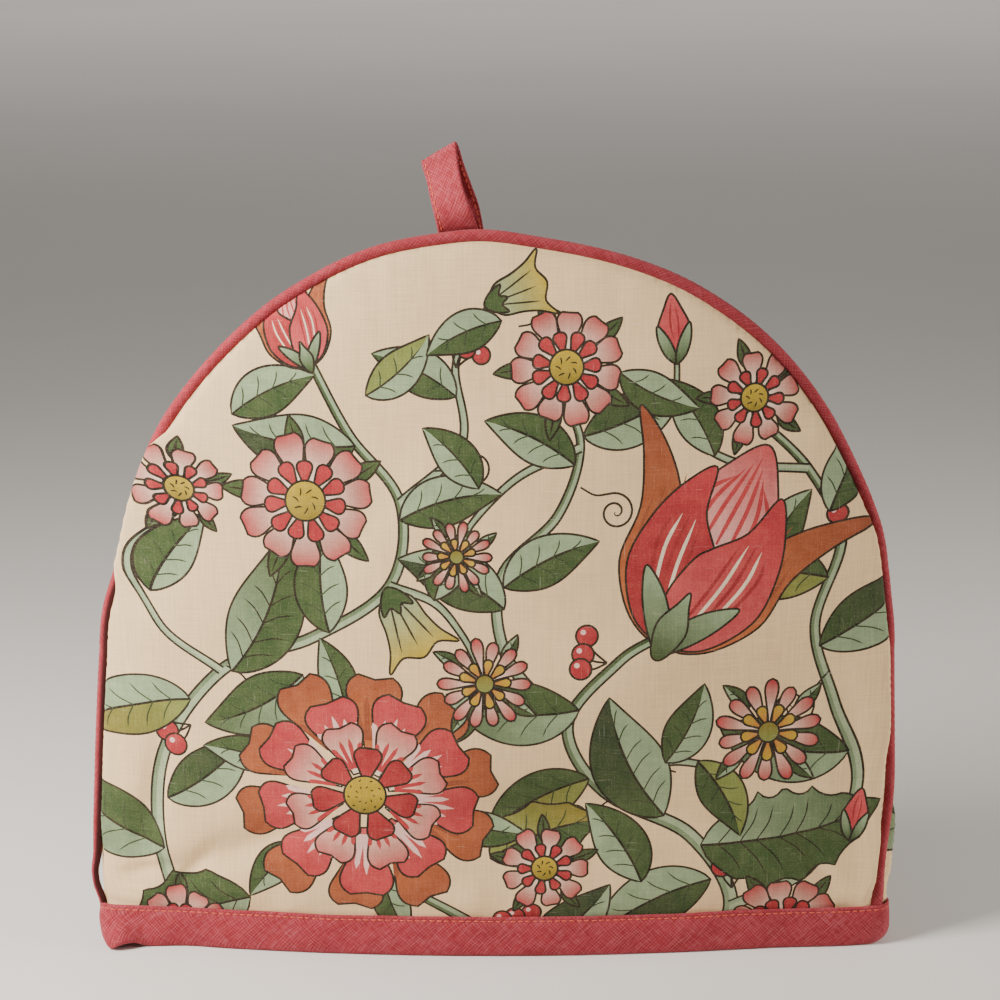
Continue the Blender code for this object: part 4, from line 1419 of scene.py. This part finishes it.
def thread(groups, materials):
    points, faces, place = [], [], []
    sides = 6
    turn = np.linspace(0.0, 2 * math.pi, sides, endpoint=False)
    number = 0
    for centre, across, up, girth in groups:
        start = len(points)
        number += 1
        column = number % 24
        row = number // 24
        points.append(centre[0])
        place.append((column * 3.0, row * 1.8, 0.0))
        for k in range(1, 6):
            for s, a in enumerate(turn):
                points.append(centre[k] + across[k] * (math.cos(a) * girth[k] * 1.1) + up[k] * (math.sin(a) * girth[k] * 0.85))
                place.append((column * 3.0 + 0.45 * k, row * 1.8 + 0.24 * s, 0.0))
        points.append(centre[6])
        place.append((column * 3.0 + 2.7, row * 1.8, 0.0))
        for s in range(sides):
            n = (s + 1) % sides
            faces.append((start, start + 1 + n, start + 1 + s))
            for k in range(4):
                a = start + 1 + k * sides
                faces.append((a + s, a + n, a + sides + n, a + sides + s))
            a = start + 1 + 4 * sides
            faces.append((a + s, a + n, start + 1 + 5 * sides))
    place = np.array(place)
    uv = np.column_stack([place[:, 0] / 76.0 + 0.01, place[:, 1] / 76.0 + 0.01])
    obj = make("stitching", np.array(points), faces, materials, None, {"flat": place}, uv)
    turn_out(obj)
    return obj


# ---------------------------------------------------------------------------
# Materials. Every pattern reads the "flat" attribute, the place on the cloth in millimetres; on the cord its third
# part is the share of painted seam shade.
# ---------------------------------------------------------------------------


class Cloth:
    """A node material under construction."""

    def __init__(self, name):
        self.material = bpy.data.materials.new(name)
        self.material.use_nodes = True
        self.tree = self.material.node_tree
        self.shader = self.tree.nodes["Principled BSDF"]

    def add(self, kind, inputs=(), **settings):
        made = self.tree.nodes.new(kind)
        for key, value in settings.items():
            setattr(made, key, value)
        for key, value in dict(inputs).items():
            if isinstance(value, bpy.types.NodeSocket):
                self.tree.links.new(value, made.inputs[key])
            else:
                made.inputs[key].default_value = value
        return made

    def maths(self, operation, *values, clamp=False):
        return self.add("ShaderNodeMath", enumerate(values), operation=operation, use_clamp=clamp).outputs[0]

    def vector(self, x, y, z=0.0):
        return self.add("ShaderNodeCombineXYZ", enumerate((x, y, z))).outputs[0]

    def place(self):
        spot = self.add("ShaderNodeAttribute", attribute_name="flat", attribute_type="GEOMETRY").outputs["Vector"]
        parts = self.add("ShaderNodeSeparateXYZ", {0: spot}).outputs
        # On the cord the third part of "flat" is the share of painted seam shade.
        self.depth = parts[2]
        return parts[0], parts[1]

    def noise(self, vector, detail=2.0, roughness=0.5, scale=1.0, distortion=0.0):
        made = self.add(
            "ShaderNodeTexNoise",
            {"Vector": vector, "Scale": scale, "Detail": detail, "Roughness": roughness, "Distortion": distortion},
            noise_dimensions="3D",
        )
        return made.outputs["Fac"]

    def streaks(self, x, y, wide, long, seed, detail=2.0):
        """Noise drawn out along y: threads wide across and long along."""
        return self.noise(self.vector(self.maths("DIVIDE", x, wide), self.maths("DIVIDE", y, long), seed), detail)

    def fit(self, value, low, high, to_low=0.0, to_high=1.0):
        made = self.add("ShaderNodeMapRange", {0: value, 1: low, 2: high, 3: to_low, 4: to_high}, interpolation_type="SMOOTHSTEP")
        return made.outputs[0]

    def mix(self, share, a, b, blend="MIX"):
        made = self.add("ShaderNodeMix", data_type="RGBA", blend_type=blend, clamp_factor=True)
        for socket, value in ((made.inputs[0], share), (made.inputs[6], a), (made.inputs[7], b)):
            if isinstance(value, bpy.types.NodeSocket):
                self.tree.links.new(value, socket)
            else:
                socket.default_value = value
        return made.outputs[2]

    def weave(self, x, y, pitch):
        """The height of a plain weave: threads both ways, each over and under the other."""
        a = self.maths("MULTIPLY", x, math.pi / pitch)
        b = self.maths("MULTIPLY", y, math.pi / pitch)
        warp = self.maths("ABSOLUTE", self.maths("COSINE", a))
        weft = self.maths("ABSOLUTE", self.maths("COSINE", b))
        over = self.maths("MULTIPLY", self.maths("SINE", a), self.maths("SINE", b))
        up = self.maths("MULTIPLY", warp, self.maths("MULTIPLY_ADD", over, 0.4, 0.6))
        down = self.maths("MULTIPLY", weft, self.maths("MULTIPLY_ADD", over, -0.4, 0.6))
        return self.maths("MAXIMUM", up, down)

    def bump(self, height, strength, distance, normal=None):
        inputs = {"Strength": strength, "Distance": distance * MM, "Height": height}
        if normal is not None:
            inputs["Normal"] = normal
        return self.add("ShaderNodeBump", inputs).outputs[0]

    def finish(self, colour, normal, roughness, sheen=0.15, sheen_rough=0.6, tint=(1, 1, 1, 1)):
        links = self.tree.links
        if isinstance(colour, bpy.types.NodeSocket):
            links.new(colour, self.shader.inputs["Base Color"])
        if isinstance(roughness, bpy.types.NodeSocket):
            links.new(roughness, self.shader.inputs["Roughness"])
        else:
            self.shader.inputs["Roughness"].default_value = roughness
        links.new(normal, self.shader.inputs["Normal"])
        self.shader.inputs["Metallic"].default_value = 0.0
        self.shader.inputs["Specular IOR Level"].default_value = 0.25
        self.shader.inputs["Sheen Weight"].default_value = sheen
        self.shader.inputs["Sheen Roughness"].default_value = sheen_rough
        self.shader.inputs["Sheen Tint"].default_value = tint
        return self.material


def rgb(colour, by=1.0):
    return (*[float(v) for v in linear(np.array(colour)) * by], 1.0)


def cotton(name, printed):
    c = Cloth(name)
    x, y = c.place()
    height = c.weave(x, y, 0.46)
    warp = c.streaks(x, y, 0.42, 16.0, 1.3)
    weft = c.streaks(y, x, 0.42, 13.0, 7.9)
    threads = c.maths("ADD", c.maths("MULTIPLY", warp, 0.55), c.maths("MULTIPLY", weft, 0.45))
    slub = c.maths("MAXIMUM", c.fit(c.streaks(x, y, 0.6, 11.0, 3.1), 0.66, 0.80), c.fit(c.streaks(y, x, 0.6, 9.0, 5.7), 0.66, 0.80))
    worn = c.noise(c.vector(x, y, 2.0), 3.0, 0.55, 0.045)
    cloud = c.noise(c.vector(x, y, 9.0), 3.0, 0.6, 0.16)
    grain = c.noise(c.vector(x, y, 4.0), 2.0, 0.7, 1.5)
    if printed:
        ink = c.add("ShaderNodeAttribute", attribute_name="ink", attribute_type="GEOMETRY").outputs["Color"]
        ground = rgb(INK["ground"])
        away = c.add("ShaderNodeVectorMath", {0: ink, 1: ground[:3]}, operation="DISTANCE").outputs["Value"]
        inked = c.fit(away, 0.03, 0.30)
        # The ink lies unevenly: it is thin on the high threads and pools a little between them.
        soak = c.maths("ADD", c.maths("MULTIPLY", c.fit(cloud, 0.30, 0.72), 0.55), c.maths("MULTIPLY", c.fit(grain, 0.3, 0.7), 0.45))
        pale = c.mix(0.05, ink, ground)
        deep = c.mix(1.0, ink, rgb((0.88, 0.88, 0.86)), "MULTIPLY")
        uneven = c.mix(soak, deep, pale)
        thin = c.maths("ADD", c.fit(threads, 0.55, 0.72, 0.0, 0.035), c.fit(c.noise(c.vector(x, y, 8.0), 1.0, 0.5, 1.9), 0.56, 0.70, 0.0, 0.05))
        thin = c.maths("ADD", thin, c.fit(height, 0.55, 0.95, 0.0, 0.07))
        uneven = c.mix(thin, uneven, rgb(INK["pale"]))
        base = c.mix(inked, ink, uneven)
    else:
        base = c.mix(0.0, rgb(INK["ground"], 0.96), rgb(INK["pale"]))
        inked = 0.0
    tone = c.fit(threads, 0.28, 0.72, 0.885, 1.07)
    tone = c.maths("MULTIPLY", tone, c.fit(height, 0.10, 0.80, 0.83, 1.06))
    tone = c.maths("MULTIPLY", tone, c.fit(worn, 0.3, 0.7, 0.97, 1.02))
    base = c.mix(1.0, base, c.vector(tone, tone, tone), "MULTIPLY")
    base = c.mix(c.maths("MULTIPLY", slub, 0.15), base, rgb((0.93, 0.90, 0.84)))
    relief = c.maths("ADD", c.maths("MULTIPLY", height, 0.6), c.maths("MULTIPLY", threads, 0.8))
    relief = c.maths("ADD", relief, c.maths("MULTIPLY", slub, 0.5))
    soft = c.bump(c.noise(c.vector(x, y, 6.0), 3.0, 0.5, 0.11), 0.5, 0.55)
    normal = c.bump(relief, 0.55, 0.12, soft)
    rough = c.fit(threads, 0.3, 0.7, 0.96, 0.88)
    return c.finish(base, normal, rough, 0.05, 0.5)


def linen(name, base, pitch=0.52, bias=True, light=0.55, dark=0.6):
    """Coral cloth cut on the bias, with pale and dark threads both ways."""
    c = Cloth(name)
    x, y = c.place()
    if bias:
        u = c.maths("MULTIPLY", c.maths("ADD", x, y), 0.7071)
        v = c.maths("MULTIPLY", c.maths("SUBTRACT", x, y), 0.7071)
    else:
        u, v = x, y
    colour = rgb(base)
    one = c.streaks(u, v, 0.30, 5.0, 2.2, 1.0)
    two = c.streaks(v, u, 0.30, 5.0, 8.4, 1.0)
    broad_one = c.streaks(u, v, 0.46, 8.0, 4.8, 1.0)
    broad_two = c.streaks(v, u, 0.46, 8.0, 6.1, 1.0)
    cloud = c.noise(c.vector(x, y, 3.0), 3.0, 0.55, 0.13)
    body = c.mix(c.fit(cloud, 0.3, 0.7), rgb(base, 0.92), rgb(base, 1.06))
    pale = rgb(np.minimum(np.array(base) * [1.05, 1.0, 1.0] + [0.02, 0.16, 0.17], 1.0))
    deep = rgb(np.array(base) * [0.74, 0.44, 0.50])
    # Thick and thin threads, about a millimetre apart both ways: each is dark or pale for a short stretch.
    for across, band, shift in ((u, broad_one, 0.4), (v, broad_two, 1.9)):
        wander = c.noise(c.vector(c.maths("MULTIPLY", x, 0.11), c.maths("MULTIPLY", y, 0.11), shift), 2.0)
        phase = c.maths("ADD", c.maths("MULTIPLY", across, 2 * math.pi / 0.98), c.maths("MULTIPLY", wander, 9.0))
        rib = c.maths("SINE", phase)
        dark_part = c.maths("MULTIPLY", c.fit(rib, 0.1, -0.9), c.fit(band, 0.58, 0.40, 0.15, 0.80 * dark))
        pale_part = c.maths("MULTIPLY", c.fit(rib, -0.1, 0.9), c.fit(band, 0.42, 0.62, 0.10, 0.80 * light))
        body = c.mix(dark_part, body, deep)
        body = c.mix(pale_part, body, pale)
    for lines in (one, two):
        body = c.mix(c.fit(lines, 0.50, 0.34, 0.0, 0.75 * dark), body, deep)
        body = c.mix(c.fit(lines, 0.56, 0.72, 0.0, 0.70 * light), body, pale)
    height = c.weave(u, v, pitch)
    tone = c.fit(height, 0.05, 0.75, 0.86, 1.06)
    body = c.mix(1.0, body, c.vector(tone, tone, tone), "MULTIPLY")
    # Painted shade: the third part of "flat" darkens the cord's side towards the seam, as if in shadow.
    body = c.mix(c.depth, body, rgb(np.array(base) * [0.34, 0.22, 0.20]))
    relief = c.maths("ADD", c.maths("MULTIPLY", height, 0.7), c.maths("MULTIPLY", c.maths("ADD", one, two), 0.5))
    soft = c.bump(c.noise(c.vector(x, y, 5.0), 2.0, 0.5, 0.22), 0.4, 0.45)
    normal = c.bump(relief, 0.6, 0.14, soft)
    rough = c.fit(c.maths("ADD", one, two), 0.7, 1.3, 0.92, 0.80)
    return c.finish(body, normal, rough, 0.20, 0.45, rgb((1.0, 0.80, 0.80)))


def thread_material(name, base):
    c = Cloth(name)
    x, y = c.place()
    twist = c.maths("SINE", c.maths("ADD", c.maths("MULTIPLY", x, 9.0), c.maths("MULTIPLY", y, 5.0)))
    fuzz = c.noise(c.vector(x, y, 1.0), 2.0, 0.6, 2.2)
    colour = c.mix(c.fit(twist, -1.0, 1.0), rgb(np.array(base) * 0.86), rgb(base))
    colour = c.mix(c.fit(fuzz, 0.4, 0.7, 0.0, 0.35), colour, rgb(np.minimum(np.array(base) * 1.12, 1.0)))
    normal = c.bump(twist, 0.6, 0.05)
    return c.finish(colour, normal, 0.6, 0.10, 0.4)


def floor_material():
    c = Cloth("floor_paper")
    spot = c.add("ShaderNodeTexCoord").outputs["Object"]
    cloud = c.noise(spot, 3.0, 0.5, 1.3)
    colour = c.mix(c.fit(cloud, 0.3, 0.7), rgb(FLOOR), rgb(np.array(FLOOR) * 0.985))
    fine = c.add("ShaderNodeTexNoise", {"Vector": spot, "Scale": 900.0, "Detail": 2.0}).outputs["Fac"]
    normal = c.bump(fine, 0.15, 0.2)
    return c.finish(colour, normal, 0.85, 0.0)


# ---------------------------------------------------------------------------
# Putting it together
# ---------------------------------------------------------------------------

FLOOR = (0.90, 0.885, 0.865)
CORAL = (0.640, 0.202, 0.234)
CORD = (0.655, 0.205, 0.235)
THREAD = (0.850, 0.370, 0.285)

draw_print()

print_cotton = cotton("cotton_print", True)
lining = cotton("cotton_plain", False)
band_linen = linen("linen_coral", CORAL)
cord_linen = linen("linen_cord", CORD, 0.48, True, 0.45, 0.5)
thread_orange = thread_material("thread_orange", THREAD)

front, front_count = panel("front_pad", -1, HOLLOW_FULL, FRONT_FOLDS, shapes, [print_cotton, lining])
back, back_count = panel("back_pad", 1, HOLLOW_FULL - 1.0, BACK_FOLDS, shapes, [print_cotton, lining])
band, band_rows = hem_band([band_linen])
cord = piping([cord_linen])
strap, strap_front, strap_inner = hang_loop([band_linen])


def level_out(line):
    ahead = unit(np.roll(line, -1, axis=0) - np.roll(line, 1, axis=0))
    out = unit(np.cross(ahead, np.array([0.0, 0.0, 1.0])))
    return out if ((line - line.mean(0)) * out).sum() > 0 else -out


sewn = []
groove = band_rows[GROOVE_ROW]
sewn += stitches(groove, level_out(groove), 2.75, 2.40, 0.26, True)
groove = band_rows[INNER_GROOVE_ROW]
sewn += stitches(groove, -level_out(groove), 2.95, 2.62, 0.29, True)
line, out = strap_front
half = len(line) // 2
sewn += stitches(line[6 : half - 4], out[6 : half - 4], 2.5, 2.25, 0.27, False)
sewn += stitches(line[half + 4 : -6], out[half + 4 : -6], 2.5, 2.25, 0.27, False)
line, out = strap_inner
sewn += stitches(line[half + 4 : -6], out[half + 4 : -6], 2.5, 2.25, 0.27, False)
seam_thread = thread(sewn, [thread_orange])

for piece, node, slot in (
    (front, "front_panel", "printed_cotton"),
    (back, "back_panel", "printed_cotton"),
    (band, "hem_band", "coral_linen"),
    (cord, "piping", "coral_piping"),
    (strap, "hang_loop", "coral_linen"),
):
    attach(piece, "root")
    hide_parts(node)
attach(seam_thread, "root")

# ---- the camera, at the photo's angle ----
lens = bpy.data.cameras.new("photo_camera")
camera = bpy.data.objects.new("photo_camera", lens)
bpy.context.scene.collection.objects.link(camera)
camera.location = (0.0015 + SHIFT[0] * MM, -0.844 + SHIFT[1] * MM, 0.398)
camera.rotation_euler = (math.radians(75.0), 0.0, 0.0)
lens.lens = 86.4
lens.sensor_width = 36.0
lens.clip_start = 0.01
bpy.context.scene.camera = camera

# ---- floor and light ----
ground_mesh = bpy.data.meshes.new("floor")
ground_mesh.from_pydata([(-15, -15, 0), (15, -15, 0), (15, 15, 0), (-15, 15, 0)], [], [(0, 1, 2, 3)])
ground_mesh.materials.append(floor_material())
ground = bpy.data.objects.new("floor", ground_mesh)
bpy.context.scene.collection.objects.link(ground)


def area_light(name, place, aim, size, power, colour):
    lamp = bpy.data.lights.new(name, "AREA")
    lamp.shape = "RECTANGLE"
    lamp.size, lamp.size_y = size
    lamp.energy = power
    lamp.color = colour
    obj = bpy.data.objects.new(name, lamp)
    bpy.context.scene.collection.objects.link(obj)
    obj.location = place
    obj.rotation_euler = (Vector(aim) - Vector(place)).to_track_quat("-Z", "Y").to_euler()
    return obj


area_light("key", (-0.53, -0.265, 0.50), (0.0, 0.0, 0.13), (0.26, 0.26), 11.0, (1.0, 0.965, 0.92))
area_light("fill", (-0.1, -1.6, 0.9), (0.0, 0.0, 0.12), (1.2, 1.2), 1.3, (1.0, 0.93, 0.86))
area_light("rim", (0.90, -0.05, 0.36), (0.0, 0.0, 0.12), (0.4, 0.4), 6.0, (1.0, 0.95, 0.90))
area_light("backdrop", (0.0, 6.5, 3.5), (0.0, 6.5, 0.0), (8.0, 6.0), 170.0, (1.0, 0.99, 0.975))

world = bpy.data.worlds.new("studio")
bpy.context.scene.world = world
world.use_nodes = True
world.node_tree.nodes["Background"].inputs[0].default_value = (1.0, 0.955, 0.895, 1.0)
world.node_tree.nodes["Background"].inputs[1].default_value = 0.11

for o in (front, back, band, cord, strap, seam_thread):
    o.data.calc_loop_triangles()
    print(o.name, len(o.data.loop_triangles), "triangles")
